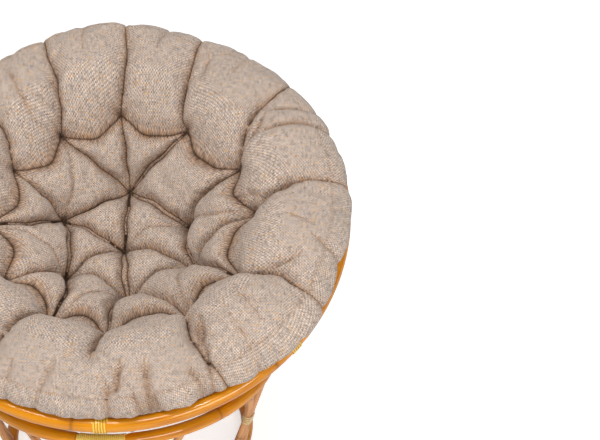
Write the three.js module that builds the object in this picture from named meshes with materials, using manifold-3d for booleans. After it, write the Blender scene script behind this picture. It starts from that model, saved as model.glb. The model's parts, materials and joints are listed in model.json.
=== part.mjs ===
// Papasan chair. A round tufted cushion lies in a rattan bowl, and the bowl rests in the top
// ring of an hourglass stand. Lengths are in millimetres, +Z is up and the chair faces -Y.

import * as THREE from "three";
import { mergeVertices } from "three/addons/utils/BufferGeometryUtils.js";
import Module from "manifold-3d";

const wasm = await Module();
wasm.setup();

const degree = Math.PI / 180;
const turn = 2 * Math.PI;

// Radii of the rattan poles
const rimPoleRadius = 16;
const ringPoleRadius = 15;
const legPoleRadius = 9;
const ribPoleRadius = 12;
const bottomPoleRadius = 13;
const hoopPoleRadius = 8;

// Binding cane, a flat strip
const caneWidth = 4;
const caneThickness = 2;

// Gap between two pieces that touch
const seatClearance = 0.3;

// Stand
const topRingRadius = 370;
const ringSpacing = 262;
const legInset = 72;
const legPairCount = 8;
const firstPairAngle = 68.5 * degree;
const bindingDrop = 120;
const legTopSpread = 34;
const legFootSpread = 38;
const bindingLoops = 4;
const bindingPitch = 6.4;
const ringWrapAngle = 1.25 * degree;
const ringWrapLoops = 24;
const ringWrapPitch = 4.5;

// Bowl
const rimRadius = 534;
const bowlDepth = 369;
const bowlTilt = 28.4 * degree;
const ribCount = 14;
const bottomRingRadius = 60;
const hoopSteps = { bowl_hoop_lower: 3, bowl_hoop_upper: 6 };
const lashingCount = 7;
const ribAngle = 5 * degree;
const lashingAngle = 1.3 * degree;
const lashingLoops = 5;
const lashingPitch = 6;

// Cushion
const rollOverhang = 12;
const rollWidth = 232;
const rollHeight = 62;
const rollCreaseDepth = 20;
const cushionThickness = 185;
const tuftPuff = 46;
const tuftSpread = 56;
const outerTuftCount = 12;
const innerTuftCount = 6;
const firstTuftAngle = -8 * degree;
const outerTuftDrop = 62;
const innerTuftRadiusShare = 0.55;
const bowlRiseShare = 3.2;

// Facets
const sectionSides = 8;
const hoopSides = 6;
const ringSegments = legPairCount * 6;
const rimSegments = ribCount * 4;
const bottomSegments = ribCount * 2;
const hoopSegments = ribCount * 3;
const legSteps = 8;
const ribSteps = 10;
const cushionColumns = outerTuftCount * 4;

// What follows from these sizes
const ringFacetSag = topRingRadius * (1 - Math.cos(Math.PI / ringSegments));
const shellRadius = (rimRadius ** 2 + bowlDepth ** 2) / (2 * bowlDepth);
const shellOuterRadius = shellRadius + ribPoleRadius;
const ringSlope = Math.asin(topRingRadius / (shellOuterRadius + ringPoleRadius));
const slidingClearance = seatClearance + ringFacetSag * Math.sin(ringSlope);
const rimDrop = shellRadius - bowlDepth - rimPoleRadius - seatClearance;
const footRingRadius = topRingRadius - legInset;
const footRingHeight = ringPoleRadius * Math.cos(Math.PI / sectionSides);
const topRingHeight = footRingHeight + ringSpacing;
const ringReach = shellOuterRadius + slidingClearance + ringPoleRadius;
const contactAngle = Math.asin(topRingRadius / ringReach);
const bowlCentreHeight = topRingHeight + ringReach * Math.cos(contactAngle);

const lacquerHoney = new THREE.Color("#d6942a");
const lacquerPale = new THREE.Color("#e2bd84");
const caneYellow = new THREE.Color("#ecc65a");
const woolHeather = new THREE.Color("#bfa995");

function finish(color, roughness) {
  return new THREE.MeshStandardMaterial({ color, roughness, metalness: 0 });
}

function piece(name, geometry, color, roughness) {
  const mesh = new THREE.Mesh(geometry, finish(color, roughness));
  mesh.name = name;
  return mesh;
}

// A regular polygon that stands for a round section
function roundOutline(radius, sides, firstAngle) {
  const points = [];
  for (let i = 0; i < sides; i += 1) {
    const angle = firstAngle + (turn * i) / sides;
    points.push(new THREE.Vector2(radius * Math.cos(angle), radius * Math.sin(angle)));
  }
  return points;
}

// A pole bent into a ring about Z, with its section turned by firstAngle and a corner on +X
function ringPole(radius, poleRadius, segments, sides, firstAngle) {
  const profile = roundOutline(poleRadius, sides, firstAngle);
  profile.forEach((point) => point.setX(point.x + radius));
  profile.push(profile[0].clone());
  const geometry = new THREE.LatheGeometry(profile, segments);
  return geometry.rotateX(Math.PI / 2).rotateZ(Math.PI / 2);
}

// A point beside such a pole, at its facets' distance, for any angle around the ring
function besideRing(radius, segments, ringAngle, sectionAngle, distance) {
  const step = turn / segments;
  const index = Math.floor(ringAngle / step);
  const share = ringAngle / step - index;
  const reach = radius + distance * Math.cos(sectionAngle);
  const height = distance * Math.sin(sectionAngle);
  const onPlane = (i) => new THREE.Vector3(reach * Math.cos(i * step), reach * Math.sin(i * step), height);
  return onPlane(index).lerp(onPlane(index + 1), share);
}

function polePath(pointAt) {
  const path = new THREE.Curve();
  path.getPoint = (t, target = new THREE.Vector3()) => target.copy(pointAt(t));
  return path;
}

function poleAlong(pointAt, radius, steps) {
  const outline = new THREE.Shape(roundOutline(radius, sectionSides, 0));
  const options = { steps, extrudePath: polePath(pointAt), bevelEnabled: false };
  return new THREE.ExtrudeGeometry(outline, options);
}

function toSolid(geometry) {
  const bare = geometry.clone();
  bare.deleteAttribute("normal");
  bare.deleteAttribute("uv");
  const welded = mergeVertices(bare);
  const vertProperties = new Float32Array(welded.attributes.position.array);
  const triVerts = new Uint32Array(welded.index.array);
  return new wasm.Manifold(new wasm.Mesh({ numProp: 3, vertProperties, triVerts }));
}

function toGeometry(solid) {
  const mesh = solid.getMesh();
  const geometry = new THREE.BufferGeometry();
  geometry.setAttribute("position", new THREE.BufferAttribute(mesh.vertProperties, mesh.numProp));
  geometry.setIndex(new THREE.BufferAttribute(mesh.triVerts, 1));
  return geometry;
}

// A flat strip through rows of four corners each, closed at both ends
function stripGeometry(rows) {
  const position = rows.flat().flatMap((corner) => corner.toArray());
  const index = [];
  const sides = rows[0].length;
  for (let row = 0; row + 1 < rows.length; row += 1) {
    for (let side = 0; side < sides; side += 1) {
      const a = row * sides + side;
      const b = row * sides + ((side + 1) % sides);
      index.push(a, b, b + sides, a, b + sides, a + sides);
    }
  }
  const last = (rows.length - 1) * sides;
  index.push(0, 2, 1, 0, 3, 2);
  index.push(last, last + 1, last + 2, last, last + 2, last + 3);
  const geometry = new THREE.BufferGeometry();
  geometry.setAttribute("position", new THREE.Float32BufferAttribute(position, 3));
  geometry.setIndex(index);
  return geometry;
}

// One unbroken cane strip in loops. cornerAt gives a point from its place along the pole, its
// step around it and its side of the strip.
function winding(name, loops, pitch, steps, cornerAt) {
  const rows = [];
  const halfLength = (loops * pitch) / 2;
  for (let i = 0; i <= loops * steps; i += 1) {
    const along = (pitch * i) / steps - halfLength;
    const low = along - caneWidth / 2;
    const high = along + caneWidth / 2;
    rows.push([cornerAt(low, i, -1), cornerAt(low, i, 1), cornerAt(high, i, 1), cornerAt(high, i, -1)]);
  }
  let leastGap = Infinity;
  for (let i = 0; i + steps < rows.length; i += 1) {
    const [lowInner, lowOuter] = rows[i + steps];
    const [, , highOuter, highInner] = rows[i];
    leastGap = Math.min(leastGap, highInner.distanceTo(lowInner), highOuter.distanceTo(lowOuter));
  }
  console.log(`${name}: least gap between loops ${leastGap.toFixed(2)} mm`);
  return stripGeometry(rows);
}

function ringWinding(name, ring, loops, pitch) {
  const middle = ring.poleRadius + seatClearance + caneThickness / 2;
  return winding(name, loops, pitch, sectionSides, (along, step, side) => {
    const sectionAngle = ring.firstAngle + (turn * step) / sectionSides;
    const ringAngle = ring.centreAngle + along / ring.radius;
    const distance = middle + (side * caneThickness) / 2;
    return besideRing(ring.radius, ring.segments, ringAngle, sectionAngle, distance);
  });
}

// Stand: two rings, pairs of bent poles that touch, and their bindings

function topRing(poleRadius) {
  return ringPole(topRingRadius, poleRadius, ringSegments, sectionSides, Math.PI / 2 + contactAngle);
}

function footRing(poleRadius) {
  return ringPole(footRingRadius, poleRadius, ringSegments, sectionSides, Math.PI / sectionSides);
}

// The top ring is cut down under its wrap, so that the bowl slides past
const ringWrapLength = ringWrapLoops * ringWrapPitch + caneWidth;
const ringNeckDepth = seatClearance + caneThickness;

function neckedTopRing() {
  const halfAngle = (ringWrapLength / 2 + seatClearance) / topRingRadius;
  const middle = ringWrapAngle - firstPairAngle;
  const reach = topRingRadius + legInset;
  const height = 4 * ringPoleRadius;
  const outline = new THREE.Shape([
    new THREE.Vector2(0, 0),
    new THREE.Vector2(reach * Math.cos(middle - halfAngle), reach * Math.sin(middle - halfAngle)),
    new THREE.Vector2(reach * Math.cos(middle + halfAngle), reach * Math.sin(middle + halfAngle)),
  ]);
  const wedge = new THREE.ExtrudeGeometry(outline, { depth: height, bevelEnabled: false });
  wedge.translate(0, 0, -height / 2);
  const full = toSolid(topRing(ringPoleRadius));
  const core = toSolid(topRing(ringPoleRadius - ringNeckDepth));
  return toGeometry(full.subtract(toSolid(wedge)).add(core));
}

// A pole of a pair, by its drop below the top ring and its side of the pair
const touchOffset = legPoleRadius + seatClearance / 2;
const bindingHalfLength = (bindingLoops * bindingPitch + caneWidth) / 2;
const bendShare = 1.3;

function legPoint(drop, side) {
  const upper = bindingDrop - bindingHalfLength;
  const lower = bindingDrop + bindingHalfLength;
  const above = Math.max(0, upper - drop) / upper;
  const below = Math.max(0, drop - lower) / (ringSpacing - lower);
  const spread = legTopSpread * above ** bendShare + legFootSpread * below ** bendShare;
  const radius = topRingRadius - (legInset * drop) / ringSpacing;
  const angle = (side * (touchOffset + spread)) / radius;
  return new THREE.Vector3(radius * Math.cos(angle), radius * Math.sin(angle), topRingHeight - drop);
}

function legPole(side) {
  const endDrop = ringPoleRadius / 3;
  const length = ringSpacing - 2 * endDrop;
  const pole = poleAlong((t) => legPoint(endDrop + t * length, side), legPoleRadius, legSteps);
  const topCut = topRing(ringPoleRadius + seatClearance).translate(0, 0, topRingHeight);
  const footCut = footRing(ringPoleRadius + seatClearance).translate(0, 0, footRingHeight);
  return toGeometry(toSolid(pole).subtract(toSolid(topCut)).subtract(toSolid(footCut)));
}

// The binding runs around both poles, square to them
function legBinding(name) {
  const halfSteps = 4;
  const steps = 2 * halfSteps + 2;
  const slope = Math.atan(legInset / ringSpacing);
  const middleRadius = topRingRadius - (legInset * bindingDrop) / ringSpacing;
  const middle = new THREE.Vector3(middleRadius, 0, topRingHeight - bindingDrop);
  const down = new THREE.Vector3(-Math.sin(slope), 0, -Math.cos(slope));
  const outward = new THREE.Vector3(Math.cos(slope), 0, -Math.sin(slope));
  const inner = (legPoleRadius + seatClearance) / Math.cos(Math.PI / (2 * halfSteps));
  return winding(name, bindingLoops, bindingPitch, steps, (along, step, side) => {
    const place = step % steps;
    const first = place <= halfSteps;
    const arc = first ? place : place - halfSteps - 1;
    const angle = (Math.PI * arc) / halfSteps + (first ? 0 : Math.PI);
    const distance = inner + ((side + 1) * caneThickness) / 2;
    const sideways = (first ? 1 : -1) * touchOffset + distance * Math.sin(angle);
    const point = middle.clone().addScaledVector(down, along);
    point.addScaledVector(outward, distance * Math.cos(angle));
    return point.setY(sideways);
  });
}

const stand = new THREE.Group();
stand.rotation.z = firstPairAngle - Math.PI / 2;

const topRingMesh = piece("stand_top_ring", neckedTopRing(), lacquerHoney, 0.25);
topRingMesh.position.z = topRingHeight;
stand.add(topRingMesh);

const footRingMesh = piece("stand_foot_ring", footRing(ringPoleRadius), lacquerHoney, 0.25);
footRingMesh.position.z = footRingHeight;
stand.add(footRingMesh);

const ringWrap = piece(
  "ring_wrap",
  ringWinding(
    "ring_wrap",
    {
      radius: topRingRadius,
      poleRadius: ringPoleRadius - ringNeckDepth,
      segments: ringSegments,
      firstAngle: Math.PI / 2 + contactAngle,
      centreAngle: ringWrapAngle - firstPairAngle,
    },
    ringWrapLoops,
    ringWrapPitch,
  ),
  caneYellow,
  0.45,
);
ringWrap.position.z = topRingHeight;
stand.add(ringWrap);

const legGeometries = [legPole(-1), legPole(1)];
const bindingGeometry = legBinding("leg_binding");
for (let pair = 0; pair < legPairCount; pair += 1) {
  const pairGroup = new THREE.Group();
  pairGroup.rotation.z = (turn * pair) / legPairCount;
  legGeometries.forEach((geometry, side) => {
    const number = String(2 * pair + side + 1).padStart(2, "0");
    pairGroup.add(piece(`leg_pole_${number}`, geometry, lacquerPale, 0.4));
  });
  pairGroup.add(piece(`leg_binding_${pair + 1}`, bindingGeometry, caneYellow, 0.45));
  stand.add(pairGroup);
}

// Bowl: everything is placed from the centre of the sphere that the ribs lie on

const bowl = new THREE.Group();
bowl.position.z = bowlCentreHeight;
bowl.rotation.x = bowlTilt;

const bowlFrame = new THREE.Group();
const lashingOffset = turn / rimSegments / 2;
bowlFrame.rotation.z = ribAngle + lashingOffset - Math.PI / 2;
bowl.add(bowlFrame);

function rim(poleRadius) {
  return ringPole(rimRadius, poleRadius, rimSegments, sectionSides, Math.PI / sectionSides);
}

const bottomShellRadius = shellOuterRadius - bottomPoleRadius;
const bottomRingDrop = Math.sqrt(bottomShellRadius ** 2 - bottomRingRadius ** 2);

function bottomRing(poleRadius) {
  return ringPole(bottomRingRadius, poleRadius, bottomSegments, sectionSides, Math.PI / sectionSides);
}

// A rib runs from inside the bottom ring to inside the rim, in equal steps
const ribBottomAngle = Math.asin((bottomRingRadius + bottomPoleRadius / 3) / shellRadius);
const ribTopAngle = Math.acos((rimDrop + rimPoleRadius / 2) / shellRadius);
const ribStepAngle = (ribTopAngle - ribBottomAngle) / ribSteps;

function rib() {
  const pole = poleAlong(
    (t) => {
      const angle = ribBottomAngle + t * (ribTopAngle - ribBottomAngle);
      return new THREE.Vector3(shellRadius * Math.sin(angle), 0, -shellRadius * Math.cos(angle));
    },
    ribPoleRadius,
    ribSteps,
  );
  const rimCut = rim(rimPoleRadius + seatClearance).translate(0, 0, -rimDrop);
  const bottomCut = bottomRing(bottomPoleRadius + seatClearance).translate(0, 0, -bottomRingDrop);
  return toGeometry(toSolid(pole).subtract(toSolid(rimCut)).subtract(toSolid(bottomCut)));
}

const rimMesh = piece("bowl_rim", rim(rimPoleRadius), lacquerHoney, 0.25);
rimMesh.position.z = -rimDrop;
bowlFrame.add(rimMesh);

const bottomMesh = piece("bowl_bottom_ring", bottomRing(bottomPoleRadius), lacquerHoney, 0.3);
bottomMesh.position.z = -bottomRingDrop;
bowlFrame.add(bottomMesh);

const ribGeometry = rib();
for (let i = 0; i < ribCount; i += 1) {
  const number = String(i + 1).padStart(2, "0");
  const ribMesh = piece(`bowl_rib_${number}`, ribGeometry, lacquerHoney, 0.3);
  ribMesh.rotation.z = (turn * i) / ribCount;
  bowlFrame.add(ribMesh);
}

// Thin hoops lie inside the ribs, at the middle of a step, and carry the cushion
const ribInnerRadius = (shellRadius - ribPoleRadius) * Math.cos(ribStepAngle / 2);
const hoopShellRadius = ribInnerRadius - seatClearance - hoopPoleRadius;
const hoopAngles = [];
for (const [name, step] of Object.entries(hoopSteps)) {
  const angle = ribBottomAngle + (step + 1 / 2) * ribStepAngle;
  hoopAngles.push(angle);
  const radius = hoopShellRadius * Math.sin(angle);
  const hoop = ringPole(radius, hoopPoleRadius, hoopSegments, hoopSides, angle - Math.PI / 2);
  const hoopMesh = piece(name, hoop, lacquerHoney, 0.3);
  hoopMesh.position.z = -hoopShellRadius * Math.cos(angle);
  bowlFrame.add(hoopMesh);
}

const lashingGeometry = ringWinding(
  "rim_lashing",
  {
    radius: rimRadius,
    poleRadius: rimPoleRadius,
    segments: rimSegments,
    firstAngle: Math.PI / sectionSides,
    centreAngle: lashingAngle - ribAngle - lashingOffset,
  },
  lashingLoops,
  lashingPitch,
);
for (let i = 0; i < lashingCount; i += 1) {
  const lashing = piece(`rim_lashing_${i + 1}`, lashingGeometry, caneYellow, 0.45);
  lashing.rotation.z = (turn * i) / lashingCount;
  lashing.position.z = -rimDrop;
  bowlFrame.add(lashing);
}

// Cushion: one tufted body, with an outer roll of puffed lobes that lies over the rim

const [lowerHoopAngle, upperHoopAngle] = hoopAngles;
const hoopFacetSag = hoopShellRadius * (1 - Math.cos(Math.PI / hoopSegments)) * Math.sin(upperHoopAngle) ** 2;
const cushionSeatRadius = hoopShellRadius - hoopPoleRadius - hoopFacetSag - seatClearance;
const rollOuterRadius = rimRadius + rollOverhang;
const rollCentreRadius = rollOuterRadius - rollWidth / 2;
const rimCoverHeight = rimPoleRadius + caneThickness + 2 * seatClearance - rimDrop;
const rollCentreHeight = rimCoverHeight + rollHeight / 4;
const outerTuftRadius = rollCentreRadius - rollWidth / 2;
const outerTuftHeight = rollCentreHeight - outerTuftDrop;
const centreTuftHeight = cushionThickness - cushionSeatRadius;
const innerTuftRadius = innerTuftRadiusShare * outerTuftRadius;

const tufts = [new THREE.Vector2(0, 0)];
for (const [count, radius] of [[innerTuftCount, innerTuftRadius], [outerTuftCount, outerTuftRadius]]) {
  for (let i = 0; i < count; i += 1) {
    const angle = (turn * i) / count;
    tufts.push(new THREE.Vector2(radius * Math.cos(angle), radius * Math.sin(angle)));
  }
}

// The seat sinks to each tuft and swells between them
function seatPoint(radius, angle) {
  const place = new THREE.Vector2(radius * Math.cos(angle), radius * Math.sin(angle));
  const nearest = Math.min(...tufts.map((tuft) => tuft.distanceTo(place)));
  const rise = (outerTuftHeight - centreTuftHeight) * (radius / outerTuftRadius) ** bowlRiseShare;
  const puff = tuftPuff * (1 - Math.exp(-((nearest / tuftSpread) ** 2)));
  return new THREE.Vector3(place.x, place.y, centreTuftHeight + rise + puff);
}

// The roll's surface, drawn in along the crease that runs out from each outer tuft
function rollPoint(rollAngle, angle) {
  const lobe = (angle * outerTuftCount) / turn;
  const fromCrease = Math.abs(lobe - Math.round(lobe)) * 2;
  const crease = rollCreaseDepth * (1 - Math.sin((fromCrease * Math.PI) / 2)) ** 1.5;
  const radius = rollCentreRadius + (rollWidth / 2 - crease) * Math.cos(rollAngle);
  const height = rollCentreHeight + (rollHeight - crease) * Math.sin(rollAngle);
  return new THREE.Vector3(radius * Math.cos(angle), radius * Math.sin(angle), height);
}

function bowlPoint(radius, height, angle) {
  return new THREE.Vector3(radius * Math.cos(angle), radius * Math.sin(angle), height);
}

const seatShares = [0.18, 0.37, 0.55, 0.7, 0.85, 1];
const rollAngles = [200, 170, 140, 110, 80, 50, 22, -6].map((angle) => angle * degree);

// The underside has a ring of corners over each hoop that carries it
const throatAngle = Math.acos(rimDrop / cushionSeatRadius);
const underAngles = [
  0.96 * throatAngle,
  0.83 * throatAngle,
  upperHoopAngle,
  (upperHoopAngle + lowerHoopAngle) / 2,
  lowerHoopAngle,
  lowerHoopAngle / 2,
];

function cushion() {
  const throatRadius = rimRadius - rimPoleRadius - caneThickness - 2 * seatClearance - hoopPoleRadius;
  const rings = [];
  seatShares.forEach((share) => rings.push((angle) => seatPoint(share * outerTuftRadius, angle)));
  rollAngles.forEach((rollAngle) => rings.push((angle) => rollPoint(rollAngle, angle)));
  rings.push((angle) => bowlPoint(rimRadius, rimCoverHeight, angle));
  rings.push((angle) => bowlPoint(throatRadius, rimCoverHeight, angle));
  underAngles.forEach((slope) => {
    const radius = cushionSeatRadius * Math.sin(slope);
    rings.push((angle) => bowlPoint(radius, -cushionSeatRadius * Math.cos(slope), angle));
  });
  const points = [new THREE.Vector3(0, 0, centreTuftHeight)];
  rings.forEach((ringAt) => {
    for (let column = 0; column < cushionColumns; column += 1) {
      points.push(ringAt((turn * column) / cushionColumns));
    }
  });
  points.push(new THREE.Vector3(0, 0, -cushionSeatRadius));
  const index = [];
  const at = (ring, column) => 1 + ring * cushionColumns + (column % cushionColumns);
  const last = points.length - 1;
  for (let column = 0; column < cushionColumns; column += 1) {
    index.push(0, at(0, column), at(0, column + 1));
    for (let ring = 0; ring + 1 < rings.length; ring += 1) {
      index.push(at(ring, column), at(ring + 1, column), at(ring + 1, column + 1));
      index.push(at(ring, column), at(ring + 1, column + 1), at(ring, column + 1));
    }
    index.push(last, at(rings.length - 1, column + 1), at(rings.length - 1, column));
  }
  const geometry = new THREE.BufferGeometry().setFromPoints(points);
  geometry.setIndex(index);
  return geometry;
}

const cushionMesh = piece("cushion", cushion(), woolHeather, 0.9);
cushionMesh.rotation.z = Math.PI / 2 - firstTuftAngle;
bowl.add(cushionMesh);

// The chair stands with the middle of its box over the origin

const chair = new THREE.Group();
chair.add(stand, bowl);
chair.updateMatrixWorld(true);
const box = new THREE.Box3().setFromObject(chair, true);
const middle = box.getCenter(new THREE.Vector3());
chair.position.set(-middle.x, -middle.y, -box.min.z);
const sizeWords = box.getSize(new THREE.Vector3()).toArray().map((size) => size.toFixed(1)).join(" x ");
const centreWords = [-middle.x, -middle.y, bowlCentreHeight - box.min.z].map((size) => size.toFixed(2)).join(", ");
console.log(`overall size ${sizeWords} mm, bowl turns about ${centreWords}`);

export default chair;
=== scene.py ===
"""Papasan chair: a round tufted cushion in a rattan bowl on an hourglass stand.

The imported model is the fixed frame. Every pole, wrap and cushion here is a detailed piece
that stands for one node of it. Lengths are in metres, +Z is up and the chair faces -Y.
"""

import json  # noqa: E402
import math  # noqa: E402

import bpy  # noqa: E402
import numpy as np  # noqa: E402
from bpy.props import FloatProperty, FloatVectorProperty, IntProperty, PointerProperty  # noqa: E402
from mathutils import Matrix, Vector, noise  # noqa: E402
from mathutils.geometry import delaunay_2d_cdt  # noqa: E402


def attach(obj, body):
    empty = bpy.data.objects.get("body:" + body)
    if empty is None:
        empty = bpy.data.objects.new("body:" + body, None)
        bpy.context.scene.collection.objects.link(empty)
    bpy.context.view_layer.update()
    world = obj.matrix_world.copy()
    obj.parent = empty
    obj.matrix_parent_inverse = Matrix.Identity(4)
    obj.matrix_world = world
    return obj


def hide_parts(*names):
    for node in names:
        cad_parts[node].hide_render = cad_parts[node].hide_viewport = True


bl_info = {
    "name": "Papasan Chair",
    "version": (1, 0, 0),
    "blender": (4, 5, 0),
    "location": "3D View > Sidebar > Papasan",
    "description": "A rattan papasan chair with its tufted cushion, piece by piece",
    "category": "Add Mesh",
}

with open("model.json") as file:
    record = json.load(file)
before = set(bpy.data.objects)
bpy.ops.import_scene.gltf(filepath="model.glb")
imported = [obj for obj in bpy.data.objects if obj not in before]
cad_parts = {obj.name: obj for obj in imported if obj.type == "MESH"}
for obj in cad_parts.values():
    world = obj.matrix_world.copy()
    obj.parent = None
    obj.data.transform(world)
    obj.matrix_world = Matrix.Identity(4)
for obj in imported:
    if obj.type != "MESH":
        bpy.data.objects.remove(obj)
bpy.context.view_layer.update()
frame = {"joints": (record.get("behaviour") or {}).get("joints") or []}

MM = 0.001
TURN = 2 * math.pi
HINGE = next(joint for joint in frame["joints"] if joint["name"] == "bowl_tilt")


def linear(hex_colour):
    """A colour written as sRGB hex, in the linear values that shaders take."""
    shares = [int(hex_colour[i : i + 2], 16) / 255 for i in (0, 2, 4)]
    return tuple(s / 12.92 if s <= 0.04045 else ((s + 0.055) / 1.055) ** 2.4 for s in shares)


def length_property(name, millimetres, description):
    return FloatProperty(
        name=name,
        description=description,
        default=millimetres * MM,
        min=0,
        subtype="DISTANCE",
        unit="LENGTH",
    )


def colour_property(name, hex_colour, description):
    return FloatVectorProperty(
        name=name, description=description, default=linear(hex_colour), min=0, max=1, subtype="COLOR"
    )


class PapasanFrameSizes(bpy.types.PropertyGroup):
    """Sizes of the rattan bowl and stand"""

    rim_radius: length_property("Rim radius", 534, "Radius of the bowl's rim, to the middle of its pole")
    rim_pole: length_property("Rim pole", 17.2, "Radius of the rim's pole")
    shell_radius: length_property("Shell radius", 570.715, "Radius of the sphere that the ribs lie on")
    rim_drop: length_property("Rim drop", 185.59, "How far the rim lies below the middle of that sphere")
    rib_pole: length_property("Rib pole", 12, "Radius of a rib's pole")
    hoop_pole: length_property("Hoop pole", 8, "Radius of the thin hoops inside the ribs")
    bottom_ring: length_property("Bottom ring", 60, "Radius of the ring where the ribs meet")
    bottom_pole: length_property("Bottom pole", 13, "Radius of that ring's pole")
    top_ring: length_property("Top ring", 370, "Radius of the stand's top ring")
    foot_ring: length_property("Foot ring", 298, "Radius of the stand's foot ring")
    ring_pole: length_property("Ring pole", 15, "Radius of both rings' poles")
    leg_pole: length_property("Leg pole", 9, "Radius of the stand's upright poles")
    cane_width: length_property("Cane width", 4, "Width of the binding cane")
    cane_thickness: length_property("Cane thickness", 2, "Thickness of the binding cane")
    rib_count: IntProperty(name="Ribs", description="How many ribs the bowl has", default=14, min=3)
    leg_pairs: IntProperty(name="Leg pairs", description="How many pairs of uprights", default=8, min=3)


class PapasanCushionSizes(bpy.types.PropertyGroup):
    """Sizes of the cushion"""

    outer_tufts: IntProperty(name="Outer tufts", description="Tufts round the seat", default=12, min=3)
    outer_tuft_radius: length_property("Outer tuft radius", 313, "Middle of the seat to the outer tufts")
    roll_width: length_property("Roll width", 232, "Width of the roll over its lobes")
    roll_height: length_property("Roll height", 124, "Height of the roll over its lobes, as a whole oval")
    seat_puff: length_property("Seat puff", 32, "How far a seat pillow stands over its creases")
    tuft_depth: length_property("Tuft depth", 36, "How far the tufts lie under the middle of a crease")
    start_fill: FloatProperty(
        name="Start fill",
        description="Share of the fullness before the simulation",
        default=0.86,
        min=0,
        max=1,
    )
    pressure: FloatProperty(name="Pressure", description="Pressure of the filling", default=4, min=0)
    reach: length_property("Reach", 25, "How far the simulation may move a point")
    seat_fullness: FloatProperty(
        name="Seat fullness",
        description="Height of a narrow pillow as a share of half its width",
        default=1.0,
        min=0,
    )
    lobe_puff: length_property("Lobe puff", 48, "How deep the creases are at the top of the roll")
    shoulder_puff: length_property("Shoulder puff", 13, "How deep the creases are on the outer shoulder")
    cell: length_property("Cell", 6.5, "Size of the cloth's mesh cells")
    thread: length_property("Thread", 3.9, "Spacing of the drawn threads")


class PapasanColours(bpy.types.PropertyGroup):
    """Colours of the finishes"""

    honey: colour_property("Honey", "e09004", "Lacquered rattan")
    amber: colour_property("Amber", "b86202", "Darker grain in the lacquered rattan")
    pale: colour_property("Pale rattan", "dda26c", "The stand's peeled poles")
    pale_dark: colour_property("Pale grain", "a4683a", "Darker grain in the peeled poles")
    cane: colour_property("Cane", "f6cf4c", "Binding cane")
    wool: colour_property("Wool", "c9b7aa", "Main thread of the cushion's fabric")
    wool_dark: colour_property("Dark thread", "857468", "Darker heather thread")
    wool_ochre: colour_property("Ochre thread", "d9a866", "Ochre flecks in the fabric")
    wool_slate: colour_property("Slate thread", "8e929c", "Blue-grey flecks in the fabric")


# Places

CENTRE = Vector(HINGE["pos_m"])
TILT = -math.radians(HINGE["range_deg"][0])
BOWL = Matrix.Translation(CENTRE) @ Matrix.Rotation(TILT, 4, "X")
FIRST_RIB = math.radians(5 + 360 / 56 / 2 - 90)
FIRST_LASHING = math.radians(-88.7)
FIRST_PAIR = math.radians(-21.5)
STAND_MIDDLE = Vector((0, CENTRE.y, 0))


def sizes():
    return bpy.context.scene.papasan_frame


def soft_sizes():
    return bpy.context.scene.papasan_cushion


def colours():
    return bpy.context.scene.papasan_colours


def turned(angle):
    return Matrix.Rotation(angle, 4, "Z")


def raised(x, y, z):
    return Matrix.Translation((x, y, z))


# Modelling steps that several pieces share


def deselect_all():
    bpy.ops.object.select_all(action="DESELECT")


def only(piece):
    deselect_all()
    piece.select_set(True)
    bpy.context.view_layer.objects.active = piece


def settle(piece, matrix):
    """Puts the piece in its place and keeps that place in its mesh."""
    only(piece)
    piece.matrix_world = matrix
    bpy.ops.object.transform_apply(location=True, rotation=True, scale=True)


def copy_of(piece):
    other = piece.copy()
    other.data = piece.data.copy()
    bpy.context.collection.objects.link(other)
    return other


def dress(piece, name, node, body, material):
    """Names the piece, gives it its finish and its body, and lets it stand for its node."""
    piece.name = name
    piece.data.name = name
    piece.data.materials.clear()
    piece.data.materials.append(material)
    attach(piece, body)
    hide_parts(node)


def wrap_uv(piece, place):
    """A UV map from place(point), which gives a length along and an angle around. Corners of one
    face stay on one side of the seam."""
    mesh = piece.data
    layer = mesh.uv_layers.get("pole") or mesh.uv_layers.new(name="pole")
    values = np.array([place(v.co) for v in mesh.vertices])
    for face in mesh.polygons:
        first = values[face.vertices[0]]
        for loop in face.loop_indices:
            along, around = values[mesh.loops[loop].vertex_index]
            along -= round(along - first[0])
            around -= TURN * round((around - first[1]) / TURN)
            layer.data[loop].uv = (along, around / TURN)
    for other in [u for u in mesh.uv_layers if u.name != "pole"]:
        mesh.uv_layers.remove(other)


def swell(piece, chosen, amount):
    """Pushes the chosen vertices out along their normals, as a growth ring swells."""
    only(piece)
    bpy.ops.object.mode_set(mode="EDIT")
    bpy.ops.mesh.select_mode(type="VERT")
    bpy.ops.mesh.select_all(action="DESELECT")
    bpy.ops.object.mode_set(mode="OBJECT")
    for vertex in piece.data.vertices:
        vertex.select = chosen(vertex)
    bpy.ops.object.mode_set(mode="EDIT")
    bpy.ops.transform.shrink_fatten(value=amount)
    bpy.ops.object.mode_set(mode="OBJECT")


def bent_ring(radius, pole, segments, sides, knots):
    """A pole bent into a ring about Z, with that many growth rings. Whoever calls it turns it,
    which sets where its growth rings lie."""
    deselect_all()
    bpy.ops.mesh.primitive_torus_add(
        major_radius=radius, minor_radius=pole, major_segments=segments, minor_segments=sides
    )
    ring = bpy.context.object
    for k in range(knots):
        place = round((k + 0.5) / knots * segments) % segments
        swell(ring, lambda v, place=place: v.index // sides == place, 0.5 * MM)
    wrap_uv(
        ring,
        lambda p: (
            math.atan2(p.y, p.x) / TURN * knots,
            math.atan2(p.z, math.hypot(p.x, p.y) - radius),
        ),
    )
    # the angle jumps at the seam by the whole count, which wrap_uv takes out in whole internodes
    bpy.ops.object.shade_smooth()
    return ring


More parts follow.
